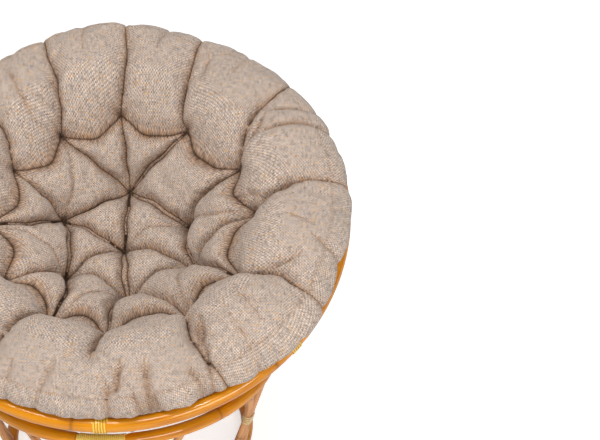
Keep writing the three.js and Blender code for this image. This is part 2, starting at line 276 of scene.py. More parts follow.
def straight_pole(length, pole, sides, cuts, knots, phase):
    """A pole down from the origin along -Z, with rounded ends and growth rings."""
    deselect_all()
    bpy.ops.mesh.primitive_cylinder_add(
        vertices=sides, radius=pole, depth=length, end_fill_type="NGON", location=(0, 0, -length / 2)
    )
    stick = bpy.context.object
    bpy.ops.object.transform_apply(location=True, rotation=True, scale=True)
    bpy.ops.object.mode_set(mode="EDIT")
    bpy.ops.mesh.select_mode(type="FACE")
    bpy.ops.mesh.select_all(action="DESELECT")
    bpy.ops.object.mode_set(mode="OBJECT")
    for face in stick.data.polygons:
        face.select = abs(face.normal.z) > 0.5
    bpy.ops.object.mode_set(mode="EDIT")
    bpy.ops.mesh.bevel(offset=1.5 * MM, segments=2, affect="EDGES")
    bpy.ops.object.mode_set(mode="OBJECT")
    for cut in range(1, cuts):
        bpy.ops.object.mode_set(mode="EDIT")
        bpy.ops.mesh.select_all(action="SELECT")
        bpy.ops.mesh.bisect(plane_co=(0, 0, -length * cut / cuts), plane_no=(0, 0, 1))
        bpy.ops.object.mode_set(mode="OBJECT")
    wrap_uv(stick, lambda p: (-p.z / length * knots + phase, math.atan2(p.y, p.x)))
    bpy.ops.object.shade_smooth()
    return stick


def cane_helix(core, loops, pitch, steps, phase=0.0):
    """A strip of cane wound round the X axis on a core of that radius."""
    size = sizes()
    deselect_all()
    bpy.ops.mesh.primitive_circle_add(
        vertices=12, radius=1, fill_type="NOTHING", rotation=(math.pi / 2, 0, 0)
    )
    strip = bpy.context.object
    strip.scale = (size.cane_width / 2, size.cane_thickness / 2, 1)
    bpy.ops.object.transform_apply(location=True, rotation=True, scale=True)
    strip.location = (-loops * pitch / 2, 0, core + size.cane_thickness / 2)
    bpy.ops.object.transform_apply(location=True, rotation=True, scale=True)
    strip.rotation_euler = (phase, 0, 0)
    bpy.ops.object.transform_apply(location=True, rotation=True, scale=True)
    screw = strip.modifiers.new("wind", "SCREW")
    screw.axis = "X"
    screw.angle = TURN
    screw.screw_offset = pitch
    screw.iterations = loops
    screw.steps = screw.render_steps = steps
    bpy.ops.object.modifier_apply(modifier=screw.name)
    bpy.ops.object.mode_set(mode="EDIT")
    bpy.ops.mesh.select_all(action="SELECT")
    bpy.ops.mesh.remove_doubles(threshold=0.01 * MM)
    bpy.ops.mesh.fill_holes(sides=0)
    bpy.ops.mesh.normals_make_consistent(inside=False)
    bpy.ops.object.mode_set(mode="OBJECT")
    wrap_uv(strip, lambda p: (p.x / pitch, math.atan2(p.z, p.y)))
    bpy.ops.object.shade_smooth()
    return strip


def bend_along(piece, axis, points):
    """Bends a piece that lies along an axis onto a line of points, from end to end."""
    data = bpy.data.curves.new("line", "CURVE")
    data.dimensions = "3D"
    data.use_stretch = data.use_deform_bounds = True
    spline = data.splines.new("POLY")
    spline.points.add(len(points) - 1)
    spline.points.foreach_set("co", [value for point in points for value in (*point, 1)])
    line = bpy.data.objects.new("line", data)
    bpy.context.collection.objects.link(line)
    only(piece)
    bend = piece.modifiers.new("bend", "CURVE")
    bend.object = line
    bend.deform_axis = axis
    bpy.ops.object.modifier_apply(modifier=bend.name)
    bpy.data.objects.remove(line)


def ring_arc(radius, middle, length):
    """Points along an arc about Z, with its middle at that angle."""
    angles = (middle + length / radius * (step / 80 - 0.5) for step in range(81))
    return [(radius * math.cos(angle), radius * math.sin(angle), 0) for angle in angles]


# Finishes


def opaque(colour):
    return (*colour, 1)


def add_node(tree, kind, inputs=None, stops=(), **settings):
    """Adds a shader node with its settings and a ramp's stops. An input takes a value, another
    node's socket, or another node for its first socket."""
    node = tree.nodes.new(kind)
    for name, value in settings.items():
        setattr(node, name, value)
    for name, value in (inputs or {}).items():
        if isinstance(value, bpy.types.Node):
            value = value.outputs[0]
        if isinstance(value, bpy.types.NodeSocket):
            tree.links.new(value, node.inputs[name])
        else:
            node.inputs[name].default_value = value
    if stops:
        elements = node.color_ramp.elements
        while len(elements) < len(stops):
            elements.new(0.5)
        for element, (place, colour) in zip(elements, stops):
            element.position = place
            element.color = opaque(colour)
    return node


def new_material(name):
    material = bpy.data.materials.new(name)
    material.use_nodes = True
    tree = material.node_tree
    tree.nodes.clear()
    shader = add_node(tree, "ShaderNodeBsdfPrincipled")
    add_node(tree, "ShaderNodeOutputMaterial", {"Surface": shader})
    return material, tree, shader


def rattan_material(name, light, dark, knot_colour, roughness, coat, coat_roughness, fibre_depth):
    """Rattan cane, the peeled stem of a climbing palm: long fine fibres and a ring at each
    growth knot, under lacquer that is as smooth as the coat says."""
    material, tree, shader = new_material(name)
    # one UV unit is an internode along and one turn around. The real fibres are under 0.5 mm
    # wide, too fine to show, so they are drawn as streaks about 2 mm wide on a 32 mm pole
    uv = add_node(tree, "ShaderNodeUVMap", uv_map="pole")
    fibres = add_node(tree, "ShaderNodeMapping", {"Vector": uv, "Scale": (3.0, 46.0, 1.0)})
    fine = add_node(
        tree, "ShaderNodeTexNoise", {"Vector": fibres, "Scale": 1.0, "Detail": 5.0, "Roughness": 0.6}
    )
    bands = add_node(tree, "ShaderNodeMapping", {"Vector": uv, "Scale": (2.2, 5.0, 1.0)})
    broad = add_node(tree, "ShaderNodeTexNoise", {"Vector": bands, "Scale": 1.0, "Detail": 2.0})
    fine_share = add_node(tree, "ShaderNodeMath", {0: fine, 1: 0.45}, operation="MULTIPLY")
    mixed = add_node(tree, "ShaderNodeMath", {0: broad, 1: 0.55, 2: fine_share}, operation="MULTIPLY_ADD")
    pale = tuple(min(1.0, c * 1.18) for c in light)
    stops = [(0.36, dark), (0.5, light), (0.68, pale)]
    body = add_node(tree, "ShaderNodeValToRGB", {"Fac": mixed}, stops=stops)
    # the knot's scar, a dark line with a halo, lies half-way along each UV unit
    split = add_node(tree, "ShaderNodeSeparateXYZ", {"Vector": uv})
    wander = add_node(
        tree, "ShaderNodeMath", {0: broad, 1: 0.012, 2: split.outputs["X"]}, operation="MULTIPLY_ADD"
    )
    along = add_node(tree, "ShaderNodeMath", {0: wander}, operation="FRACT")
    past_knot = add_node(tree, "ShaderNodeMath", {0: along, 1: 0.506}, operation="SUBTRACT")
    from_knot = add_node(tree, "ShaderNodeMath", {0: past_knot}, operation="ABSOLUTE")
    scar = add_node(
        tree,
        "ShaderNodeMapRange",
        {"Value": from_knot, "From Min": 0.004, "From Max": 0.012, "To Min": 1.0, "To Max": 0.0},
    )
    halo = add_node(
        tree,
        "ShaderNodeMapRange",
        {"Value": from_knot, "From Min": 0.0, "From Max": 0.07, "To Min": 0.35, "To Max": 0.0},
    )
    shaded = add_node(tree, "ShaderNodeMix", {0: halo, 6: body, 7: opaque(dark)}, data_type="RGBA")
    scar_share = add_node(tree, "ShaderNodeMath", {0: scar, 1: 0.5}, operation="MULTIPLY")
    painted = add_node(
        tree, "ShaderNodeMix", {0: scar_share, 6: shaded.outputs[2], 7: opaque(knot_colour)}, data_type="RGBA"
    )
    tree.links.new(painted.outputs[2], shader.inputs["Base Color"])
    relief = add_node(tree, "ShaderNodeMath", {0: fine, 1: fibre_depth}, operation="MULTIPLY")
    height = add_node(tree, "ShaderNodeMath", {0: relief, 1: scar}, operation="SUBTRACT")
    bump = add_node(tree, "ShaderNodeBump", {"Height": height, "Strength": 0.5, "Distance": 0.35 * MM})
    tree.links.new(bump.outputs["Normal"], shader.inputs["Normal"])
    shader.inputs["Roughness"].default_value = roughness
    shader.inputs["Specular IOR Level"].default_value = 0.15
    shader.inputs["Coat Weight"].default_value = coat
    shader.inputs["Coat Roughness"].default_value = coat_roughness
    shader.inputs["Coat IOR"].default_value = 1.6
    return material


def cane_material(name, light, shadow):
    """Binding cane, split from the rattan's skin: a smooth satin face with faint fibres."""
    material, tree, shader = new_material(name)
    # one UV unit is one loop along and one turn around
    uv = add_node(tree, "ShaderNodeUVMap", uv_map="pole")
    fibres = add_node(tree, "ShaderNodeMapping", {"Vector": uv, "Scale": (14.0, 3.0, 1.0)})
    fine = add_node(tree, "ShaderNodeTexNoise", {"Vector": fibres, "Scale": 1.0, "Detail": 4.0})
    pale = tuple(min(1, c * 1.25) for c in light)
    stops = [(0.3, shadow), (0.52, light), (0.75, pale)]
    body = add_node(tree, "ShaderNodeValToRGB", {"Fac": fine}, stops=stops)
    tree.links.new(body.outputs["Color"], shader.inputs["Base Color"])
    bump = add_node(tree, "ShaderNodeBump", {"Height": fine, "Strength": 0.4, "Distance": 0.2 * MM})
    tree.links.new(bump.outputs["Normal"], shader.inputs["Normal"])
    shader.inputs["Roughness"].default_value = 0.35
    shader.inputs["Coat Weight"].default_value = 0.4
    shader.inputs["Coat Roughness"].default_value = 0.2
    return material


def heather_material(name):
    """Heather furniture fabric: a plain weave of slubby two-tone yarn with ochre and slate
    flecks, matt with a little sheen. The threads are drawn twice as coarse as the real ones,
    which would be finer than a pixel."""
    tint = colours()
    pitch = soft_sizes().thread
    material, tree, shader = new_material(name)
    uv = add_node(tree, "ShaderNodeUVMap", uv_map="cloth")
    split = add_node(tree, "ShaderNodeSeparateXYZ", {"Vector": uv})
    # a slub is five threads long
    slubs = {"X": (1 / pitch, 1 / (5 * pitch), 1.0), "Y": (1 / (5 * pitch), 1 / pitch, 1.0)}
    counts, ridges, yarns = [], [], []
    for axis, stretch in slubs.items():
        threads = add_node(tree, "ShaderNodeMath", {0: split.outputs[axis], 1: pitch}, operation="DIVIDE")
        counts.append(add_node(tree, "ShaderNodeMath", {0: threads}, operation="FLOOR"))
        over_thread = add_node(tree, "ShaderNodeMath", {0: threads}, operation="FRACT")
        half_turn = add_node(tree, "ShaderNodeMath", {0: over_thread, 1: math.pi}, operation="MULTIPLY")
        ridges.append(add_node(tree, "ShaderNodeMath", {0: half_turn}, operation="SINE"))
        placed = add_node(
            tree,
            "ShaderNodeMapping",
            {"Vector": uv, "Scale": stretch, "Location": (stretch[0] % 7, 3.0, 0.0)},
        )
        yarns.append(
            add_node(
                tree, "ShaderNodeTexNoise", {"Vector": placed, "Scale": 1.0, "Detail": 3.0, "Roughness": 0.65}
            )
        )
    total = add_node(tree, "ShaderNodeMath", {0: counts[0], 1: counts[1]}, operation="ADD")
    odd = add_node(tree, "ShaderNodeMath", {0: total, 1: 1.0}, operation="PINGPONG")
    pale, dark = np.array(tint.wool), np.array(tint.wool_dark)
    tones = (0.6 * dark, 0.5 * (pale + dark), pale, 1.4 * pale)
    worn = []
    for yarn, light in zip(yarns, (1.26, 0.78)):
        shades = [tuple(np.minimum(1, light * tone)) for tone in tones]
        stops = list(zip((0.30, 0.42, 0.52, 0.72), shades))
        worn.append(add_node(tree, "ShaderNodeValToRGB", {"Fac": yarn}, stops=stops))
    weave = add_node(tree, "ShaderNodeMix", {0: odd, 6: worn[0], 7: worn[1]}, data_type="RGBA")
    # a fleck is a thread wide and seven threads long
    fleck_size = (1 / (7 * pitch), 1 / (1.1 * pitch), 1.0)
    placed = add_node(tree, "ShaderNodeMapping", {"Vector": uv, "Scale": fleck_size})
    flecks = add_node(tree, "ShaderNodeTexNoise", {"Vector": placed, "Scale": 1.0, "Detail": 2.0})
    mixed = weave
    kinds = ((tint.wool_ochre, 0.56, 0.68, 0.44), (tint.wool_slate, 0.44, 0.32, 0.4))
    for colour, low, high, strength in kinds:
        found = add_node(tree, "ShaderNodeMapRange", {"Value": flecks, "From Min": low, "From Max": high})
        share = add_node(tree, "ShaderNodeMath", {0: found, 1: strength}, operation="MULTIPLY")
        inputs = {0: share, 6: mixed.outputs[2], 7: opaque(colour)}
        mixed = add_node(tree, "ShaderNodeMix", inputs, data_type="RGBA")
    # dye lots and handling vary over a hand's breadth
    patches = add_node(tree, "ShaderNodeTexNoise", {"Vector": uv, "Scale": 9.0, "Detail": 2.0})
    level = add_node(tree, "ShaderNodeMapRange", {"Value": patches, "To Min": 0.9, "To Max": 1.08})
    inputs = {0: 1.0, 6: mixed.outputs[2], 7: level}
    toned = add_node(tree, "ShaderNodeMix", inputs, data_type="RGBA", blend_type="MULTIPLY")
    # painted shade: creases, folds and tufts are darkened to warm brown in the colour, standing in for their
    # shade and the warm light bounced off the wool there
    painted_crease_shade = add_node(tree, "ShaderNodeAttribute", attribute_name="painted_crease_shade")
    stops = [
        (0.0, (1.0, 1.0, 1.0)),
        (0.35, (0.8, 0.7, 0.61)),
        (0.78, (0.5, 0.39, 0.31)),
        (1.0, (0.1, 0.065, 0.04)),
    ]
    shade = add_node(tree, "ShaderNodeValToRGB", {"Fac": painted_crease_shade.outputs["Fac"]}, stops=stops)
    inputs = {0: 1.0, 6: toned.outputs[2], 7: shade}
    shaded = add_node(tree, "ShaderNodeMix", inputs, data_type="RGBA", blend_type="MULTIPLY")
    tree.links.new(shaded.outputs[2], shader.inputs["Base Color"])
    over = add_node(tree, "ShaderNodeMix", {0: odd, 2: ridges[0], 3: ridges[1]}, data_type="FLOAT")
    bump = add_node(tree, "ShaderNodeBump", {"Height": over, "Strength": 0.6, "Distance": 0.9 * MM})
    tree.links.new(bump.outputs["Normal"], shader.inputs["Normal"])
    shader.inputs["Roughness"].default_value = 0.92
    shader.inputs["Specular IOR Level"].default_value = 0.2
    shader.inputs["Sheen Weight"].default_value = 0.2
    shader.inputs["Sheen Roughness"].default_value = 0.5
    return material


def finish_named(name):
    """A finish by its name, made when it is first asked for."""
    if name in bpy.data.materials:
        return bpy.data.materials[name]
    tint = colours()
    if name == "honey_lacquered_rattan":
        lacquer = {"roughness": 0.32, "coat": 0.65, "coat_roughness": 0.06, "fibre_depth": 0.25}
        return rattan_material(name, tint.honey, tint.amber, linear("8a5212"), **lacquer)
    if name == "peeled_pale_rattan":
        lacquer = {"roughness": 0.45, "coat": 0.5, "coat_roughness": 0.22, "fibre_depth": 0.6}
        return rattan_material(name, tint.pale, tint.pale_dark, linear("7c4f27"), **lacquer)
    if name == "split_cane_binding":
        return cane_material(name, tint.cane, linear("d09c34"))
    # painted light: a brighter copy of the binding cane, which lightens the ring wrap where the rim shades it
    if name == "painted_light_cane_binding":
        return cane_material(name, linear("ffe070"), linear("eab848"))
    if name == "pale_cane_binding":
        return cane_material(name, linear("f0d8a0"), linear("c9a468"))
    return heather_material(name)


def dress_lacquered(piece, name, node, body):
    dress(piece, name, node, body, finish_named("honey_lacquered_rattan"))


def dress_bound(piece, name, node, body, finish):
    dress(piece, name, node, body, finish_named(finish))


# The bowl

LASHINGS = 7
LASHING_LOOPS = 5
LASHING_PITCH = 6 * MM
LASHING_FIT = 0.2 * MM


def rib_start(size):
    """Where a rib starts on the bottom ring, as an angle from the bottom of the bowl."""
    return math.asin((size.bottom_ring + size.bottom_pole / 3) / size.shell_radius)


class PAPASAN_OT_rim(bpy.types.Operator):
    """Adds the bowl's rim, a thick lacquered pole bent into a ring"""

    bl_idname = "papasan.rim"
    bl_label = "Bowl rim"

    def execute(self, context):
        size = sizes()
        ring = bent_ring(size.rim_radius, size.rim_pole, segments=360, sides=24, knots=7)
        settle(ring, BOWL @ turned(FIRST_RIB + 0.21) @ raised(0, 0, -size.rim_drop))
        dress_lacquered(ring, "rim_pole", "bowl_rim", "bowl")
        return {"FINISHED"}


class PAPASAN_OT_ribs(bpy.types.Operator):
    """Adds the ribs, arcs of a ring that run from the bottom ring up to the rim"""

    bl_idname = "papasan.ribs"
    bl_label = "Bowl ribs"

    def execute(self, context):
        size = sizes()
        lowest = rib_start(size)
        highest = math.acos((size.rim_drop + 5 * MM) / size.shell_radius)
        arc = bent_ring(size.shell_radius, size.rib_pole, segments=200, sides=16, knots=16)
        bpy.ops.object.mode_set(mode="EDIT")
        for angle, side in ((lowest, 1), (highest, -1)):
            bpy.ops.mesh.select_all(action="SELECT")
            bpy.ops.mesh.bisect(
                plane_co=(0, 0, 0),
                plane_no=(-side * math.sin(angle), side * math.cos(angle), 0),
                use_fill=True,
                clear_inner=True,
            )
        bpy.ops.mesh.select_all(action="SELECT")
        bpy.ops.mesh.normals_make_consistent(inside=False)
        bpy.ops.object.mode_set(mode="OBJECT")
        # the arc lies in XY from +X; it is stood up so that it starts at the bottom of the bowl
        settle(arc, Matrix(((0, 1, 0, 0), (0, 0, 1, 0), (-1, 0, 0, 0), (0, 0, 0, 1))).to_4x4())
        for index in range(size.rib_count):
            rib = copy_of(arc)
            settle(rib, BOWL @ turned(FIRST_RIB + TURN * index / size.rib_count))
            number = f"{index + 1:02d}"
            dress_lacquered(rib, f"rib_{number}", f"bowl_rib_{number}", "bowl")
        bpy.data.objects.remove(arc)
        return {"FINISHED"}


class PAPASAN_OT_hoops(bpy.types.Operator):
    """Adds the thin hoops inside the ribs and the ring where the ribs meet"""

    bl_idname = "papasan.hoops"
    bl_label = "Hoops and bottom ring"

    def execute(self, context):
        size = sizes()
        lowest = rib_start(size)
        highest = math.acos((size.rim_drop + size.rim_pole / 2) / size.shell_radius)
        step = (highest - lowest) / 10
        shell = (size.shell_radius - size.rib_pole) * math.cos(step / 2) - 0.3 * MM - size.hoop_pole
        for name, place, knots in (("hoop_lower", 3.5, 6), ("hoop_upper", 6.5, 8)):
            angle = lowest + place * step
            hoop = bent_ring(shell * math.sin(angle), size.hoop_pole, segments=168, sides=14, knots=knots)
            settle(hoop, BOWL @ turned(FIRST_RIB + 0.1) @ raised(0, 0, -shell * math.cos(angle)))
            dress_lacquered(hoop, name, f"bowl_{name}", "bowl")
        outer = size.shell_radius + size.rib_pole - size.bottom_pole
        ring = bent_ring(size.bottom_ring, size.bottom_pole, segments=96, sides=20, knots=1)
        settle(ring, BOWL @ raised(0, 0, -math.sqrt(outer**2 - size.bottom_ring**2)))
        dress_lacquered(ring, "bottom_ring", "bowl_bottom_ring", "bowl")
        return {"FINISHED"}


class PAPASAN_OT_lashings(bpy.types.Operator):
    """Adds the cane lashings round the rim"""

    bl_idname = "papasan.lashings"
    bl_label = "Rim lashings"

    def execute(self, context):
        size = sizes()
        cane = cane_helix(size.rim_pole + LASHING_FIT, LASHING_LOOPS, LASHING_PITCH, 24)
        length = LASHING_LOOPS * LASHING_PITCH + size.cane_width
        bend_along(cane, "POS_X", ring_arc(size.rim_radius, 0, length))
        for index in range(LASHINGS):
            lashing = copy_of(cane)
            place = turned(FIRST_LASHING + TURN * index / LASHINGS) @ raised(0, 0, -size.rim_drop)
            settle(lashing, BOWL @ place)
            name = f"lashing_{index + 1}"
            dress_bound(lashing, name, f"rim_{name}", "bowl", "split_cane_binding")
        bpy.data.objects.remove(cane)
        return {"FINISHED"}


# The stand

RING_HEIGHT = 262 * MM
WRAP_LOOPS = 24
WRAP_PITCH = 4.5 * MM
WRAP_ANGLE = math.radians(1.25 - 90)
NECK_DEPTH = 2.2 * MM
WRAP_FIT = 0.1 * MM
LEG_START = 8 * MM
LEG_INSET = 72 * MM
BINDING_DROP = 120 * MM
BINDING_HALF = 14.8 * MM
UPPER_SPREAD = 34 * MM
LOWER_SPREAD = 38 * MM
BEND_POWER = 1.3
BINDING_LOOPS = 4
BINDING_PITCH = 6.4 * MM
BINDING_FIT = 0.2 * MM


def foot_place():
    """The middle of the foot ring, which stands on the flat of an eight-sided pole."""
    return Matrix.Translation(STAND_MIDDLE + Vector((0, 0, sizes().ring_pole * math.cos(math.pi / 8))))


def top_place():
    return foot_place() @ raised(0, 0, RING_HEIGHT)


class PAPASAN_OT_rings(bpy.types.Operator):
    """Adds the stand's top ring, with its neck under the wrap, and its foot ring"""

    bl_idname = "papasan.rings"
    bl_label = "Stand rings"

    def execute(self, context):
        size = sizes()
        top = bent_ring(size.top_ring, size.ring_pole, segments=288, sides=24, knots=7)
        settle(top, turned(WRAP_ANGLE + 0.3))
        half = (WRAP_LOOPS * WRAP_PITCH / 2 + size.cane_width) / size.top_ring

        def under_wrap(vertex):
            away = math.atan2(vertex.co.y, vertex.co.x) - WRAP_ANGLE
            away -= TURN * round(away / TURN)
            return abs(away) < half

        swell(top, under_wrap, -NECK_DEPTH)
        settle(top, top_place())
        dress_lacquered(top, "top_ring_pole", "stand_top_ring", "stand")
        foot = bent_ring(size.foot_ring, size.ring_pole, segments=240, sides=24, knots=6)
        settle(foot, foot_place() @ turned(0.4))
        dress_lacquered(foot, "foot_ring_pole", "stand_foot_ring", "stand")
        return {"FINISHED"}


class PAPASAN_OT_ring_wrap(bpy.types.Operator):
    """Adds the long cane wrap over the top ring's joint"""

    bl_idname = "papasan.ring_wrap"
    bl_label = "Ring wrap"

    def execute(self, context):
        size = sizes()
        cane = cane_helix(size.ring_pole - NECK_DEPTH + WRAP_FIT, WRAP_LOOPS, WRAP_PITCH, 24)
        length = WRAP_LOOPS * WRAP_PITCH + size.cane_width
        bend_along(cane, "POS_X", ring_arc(size.top_ring, WRAP_ANGLE, length))
        settle(cane, top_place())
        # the wrap takes the brighter copy of the cane, painted light against the rim's shadow
        dress_bound(cane, "wrap_cane", "ring_wrap", "stand", "painted_light_cane_binding")
        return {"FINISHED"}


def leg_middle(drop, side):
    """The middle of a leg pole by its drop below the top ring, for the pair at +X."""
    size = sizes()
    upper = BINDING_DROP - BINDING_HALF
    lower = BINDING_DROP + BINDING_HALF
    above = max(0.0, upper - drop) / upper
    below = max(0.0, drop - lower) / (RING_HEIGHT - lower)
    spread = UPPER_SPREAD * above**BEND_POWER + LOWER_SPREAD * below**BEND_POWER
    radius = size.top_ring - LEG_INSET * drop / RING_HEIGHT
    angle = side * (size.leg_pole + 0.15 * MM + spread) / radius
    return Vector((radius * math.cos(angle), radius * math.sin(angle), -drop))


class PAPASAN_OT_legs(bpy.types.Operator):
    """Adds the stand's upright poles, bent in pairs that touch"""

    bl_idname = "papasan.legs"
    bl_label = "Leg poles"

    def execute(self, context):
        size = sizes()
        top = top_place()
        length = RING_HEIGHT - 2 * LEG_START
        for side, phase in ((-1, 0.36), (1, 0.62)):
            stick = straight_pole(length, size.leg_pole, sides=20, cuts=30, knots=1.7, phase=phase)
            drops = (LEG_START + length * step / 80 for step in range(81))
            bend_along(stick, "NEG_Z", [leg_middle(drop, side) for drop in drops])
            for pair in range(size.leg_pairs):
                leg = copy_of(stick)
                settle(leg, top @ turned(FIRST_PAIR + TURN * pair / size.leg_pairs))
                number = f"{2 * pair + (side + 3) // 2:02d}"
                finish = finish_named("peeled_pale_rattan")
                dress(leg, f"leg_{number}", f"leg_pole_{number}", "stand", finish)
            bpy.data.objects.remove(stick)
        return {"FINISHED"}


class PAPASAN_OT_leg_bindings(bpy.types.Operator):
    """Adds the cane bindings round each pair of leg poles"""

    bl_idname = "papasan.leg_bindings"
    bl_label = "Leg bindings"

    def execute(self, context):
        size = sizes()
        slope = math.atan(LEG_INSET / RING_HEIGHT)
        reach = size.top_ring - LEG_INSET * BINDING_DROP / RING_HEIGHT
        top = top_place()
        # half a step of the winding keeps every loop's points clear of the split
        cane = cane_helix(size.leg_pole + BINDING_FIT, BINDING_LOOPS, BINDING_PITCH, 24, phase=math.pi / 24)
        # the helix is split down its middle and each half moved out over its own pole
        for side in (-1, 1):
            only(cane)
            bpy.ops.object.mode_set(mode="EDIT")
            bpy.ops.mesh.select_mode(type="VERT")
            bpy.ops.mesh.select_all(action="DESELECT")
            bpy.ops.object.mode_set(mode="OBJECT")
            for vertex in cane.data.vertices:
                vertex.select = side * vertex.co.y > 0
            bpy.ops.object.mode_set(mode="EDIT")
            bpy.ops.transform.translate(value=(0, side * size.leg_pole, 0))
            bpy.ops.object.mode_set(mode="OBJECT")
        settle(cane, raised(reach, 0, -BINDING_DROP) @ Matrix.Rotation(math.pi / 2 + slope, 4, "Y"))
        for pair in range(size.leg_pairs):
            binding = copy_of(cane)
            settle(binding, top @ turned(FIRST_PAIR + TURN * pair / size.leg_pairs))
            name = f"binding_{pair + 1}"
            dress_bound(binding, name, f"leg_{name}", "stand", "pale_cane_binding")
        bpy.data.objects.remove(cane)
        return {"FINISHED"}


# The cushion. Its cloth is two round panels sewn at a seam on the roll's outer shoulder. Points
# on a panel are given by their length from its middle and their angle, clockwise from the back.

CENTRE_TUFT = (16, -83)
INNER_TUFTS = ((166, -5.5), (160, 66), (183, 110), (148, 176), (172, -121), (187, -67))
OUTER_TUFTS = (
    (315, -6.9),
    (306, 25.5),
    (316, 60),
    (323, 84.6),
    (332, 117.5),
    (296, 143),
    (288, -178),
    (296, -150),
    (310, -121),
    (322, -93),
    (318, -64),
    (308, -36),
)
# the angle of each radial crease at these shares of its way over the roll
CREASE_SHARES = (0, 0.13, 0.25, 0.38, 0.52, 0.67, 0.82, 1, 1.35)
CREASES = (
    (-6.9, -6.0, -4.8, -4.0, -3.4, -3.1, -3.4, -3.7, -4),
    (25.5, 22.8, 21.4, 20.6, 19.7, 19.0, 18.6, 18.0, 17.5),
    (60, 57.2, 53.4, 50.6, 49.1, 48.4, 48.1, 48.1, 47),
    (84.6, 85.5, 83.5, 81.8, 80.3, 80.1, 80.5, 81.9, 82.5),
    (117.5, 118, 117.6, 116, 114.5, 114.5, 115.9, 116.4, 117.3),
    (143, 145.5, 147, 148.3, 149.4, 149.2, 149, 148, 147),
    (-178, -178.5, -178, -177.5, -177, -177.5, -178, -177, -178),
    (-150, -148, -147, -146, -147, -148, -147, -146, -147),
    (-121, -119, -116, -115, -114, -115, -116, -116, -115),
    (-93, -92, -89, -87, -86, -85, -86, -86, -87),
    (-64, -61, -57, -55, -54, -53, -53, -54, -53),
    (-36, -34, -31, -30, -28, -28, -28, -27, -28),
)
# pleats and folds on the roll: angle at its start and end, shares of the roll where these are,
# depth in mm and width in mm
ROLL_FOLDS = (
    (25, 22.5, 0.5, 0.93, 5, 7),
    (60.5, 52, 0.1, 0.62, 10, 6),
    (57.5, 65, 0.36, 1.1, 11, 7),
    (52.5, 57.5, 0.64, 1.02, 7, 6),
    (75.5, 83, 0.0, 0.3, 8, 6),
    (117.5, 106.5, 0.42, 0.75, 10, 7),
    (101, 104, 0.8, 1.2, 8, 8),
    (95, 98, 0.45, 0.8, 4, 12),
    (128, 131, 0.3, 0.8, 5, 12),
    (136, 138, 0.5, 1.0, 5, 11),
    (143.4, 147, 0.28, 0.6, 12, 8),
    (145.5, 149.6, 0.2, 1.0, 10, 8),
    (154, 153.5, 0.75, 1.1, 9, 11),
    (165.6, 166, 0.5, 1.0, 11, 11),
    (172.5, 174.5, 0.45, 0.95, 12, 11),
    (170, 168.5, 0.88, 1.3, 9, 11),
    (164.8, 164.2, 0.98, 1.35, 8, 11),
    (176.5, 176.4, 0.75, 1.2, 9, 11),
    (-168, -166, 0.5, 1.1, 6, 9),
    (-157, -158, 0.7, 1.2, 5, 9),
    (-140, -133, 0.3, 1.0, 9, 7),
    (-121, -112, 0.25, 0.62, 9, 6),
    (-104, -101, 0.6, 1.2, 7, 8),
    (-93, -82, 0.2, 0.7, 9, 6),
    (-70, -72, 0.35, 1.0, 6, 10),
    (-44, -40, 0.15, 0.9, 8, 8),
    (-17, -15, 0.6, 1.1, 5, 10),
    (7, 8, 0.65, 1.1, 4, 10),
    (34, 33, 0.7, 1.1, 4, 10),
)
# seat creases from tuft to tuft: bow in mm to the left of the way, pleat between a doubled
# crease in mm, and whether it is drawn down (1) or a shallow fold only (0)
SEAT_CREASES = (
    ("c", "i0", -3, 6, 1),
    ("c", "i1", 8, 0, 0),
    ("c", "i2", 8, 0, 1),
    ("c", "i3", 0, 15, 1),
    ("c", "i4", -6, 0, 1),
    ("c", "i5", 5, 7, 1),
    ("i0", "i1", 0, 11, 1),
    ("i1", "i2", -4, 7, 1),
    ("i2", "i3", -9, 0, 1),
    ("i3", "i4", -9, 0, 1),
    ("i4", "i5", -6, 9, 1),
    ("i5", "i0", -8, 0, 1),
    ("i0", "o0", -5, 0, 1),
    ("i0", "o1", 8, 9, 1),
    ("i0", "o11", -8, 0, 1),
    ("i1", "o2", 10, 5, 1),
    ("i1", "o3", 5, 0, 0),
    ("i2", "o3", 6, 0, 1),
    ("i2", "o4", 6, 7, 1),
    ("i2", "o5", -6, 0, 0),
    ("i3", "o5", 8, 0, 1),
    ("i3", "o6", -14, 8, 1),
    ("i3", "o7", -6, 0, 0),
    ("i4", "o7", 8, 5, 1),
    ("i4", "o8", 6, 0, 1),
    ("i4", "o9", -5, 0, 0),
    ("i5", "o9", 6, 7, 1),
    ("i5", "o10", 5, 0, 1),
    ("i5", "o11", -6, 0, 0),
)
RING_BOWS = (-16, -22, -16, -36, -22, -20, -24, -20, -22, -26, -22, -16)
# where a radial crease fades out, as a share of its way over the roll
CREASE_ENDS = (1.35, 1.35, 1.35, 1.35, 1.35, 1.35, 0.5, 1.35, 1.35, 0.8, 1.35, 1.35)
# how much higher the filling stands at some angles, in mm
LIFTS = (
    ((-60, 0), (-42, 8), (-25, 15), (-6, 17), (3, 8), (10, -3))
    + ((17, -10), (24, -13), (40, -9), (48, -2), (60, 0))
)
# how far the roll hangs over the rim at some angles, in mm
HANGS = (
    ((-166, -6), (-152, -2), (-140, 0), (-122, 12), (-106, 4), (-80, 11), (-60, 3))
    + ((-50, 0), (50, 0), (60, 3), (80, 11), (90, 11), (98, 11), (106, 6), (112, 12))
    + ((118, 21), (128, 22), (138, 10), (146, 3), (154, -2), (166, -4))
)
# the roll's section, in mm from the middle of the seat and over the rim, and in degrees round it
ROLL_MIDDLE = 430
ROLL_BASE = 34
SEAM_TURN = 50
# how wide a tuft's dimple is in the seat, and how wide and deep its print is under it, in mm
TUFT_WIDTH = 46
PRINT_WIDTH = 40
PRINT_DEPTH = 16
# the height where the roll overhangs most, and how far up and down that reaches, in mm
HANG_HEIGHT = 42
HANG_REACH = 34
# how many points the seam has, and a length in mm that is longer than the cushion
SEAM_POINTS = 520
FAR = 1e3
# where the lower panel leaves its bed on the rim, and how far in it is out of sight, in mm
BED_EDGE = 527
HIDDEN_EDGE = 500
# a lobe fills its section where the film over it stands this high, in mm
FULL_FILM = 95.0


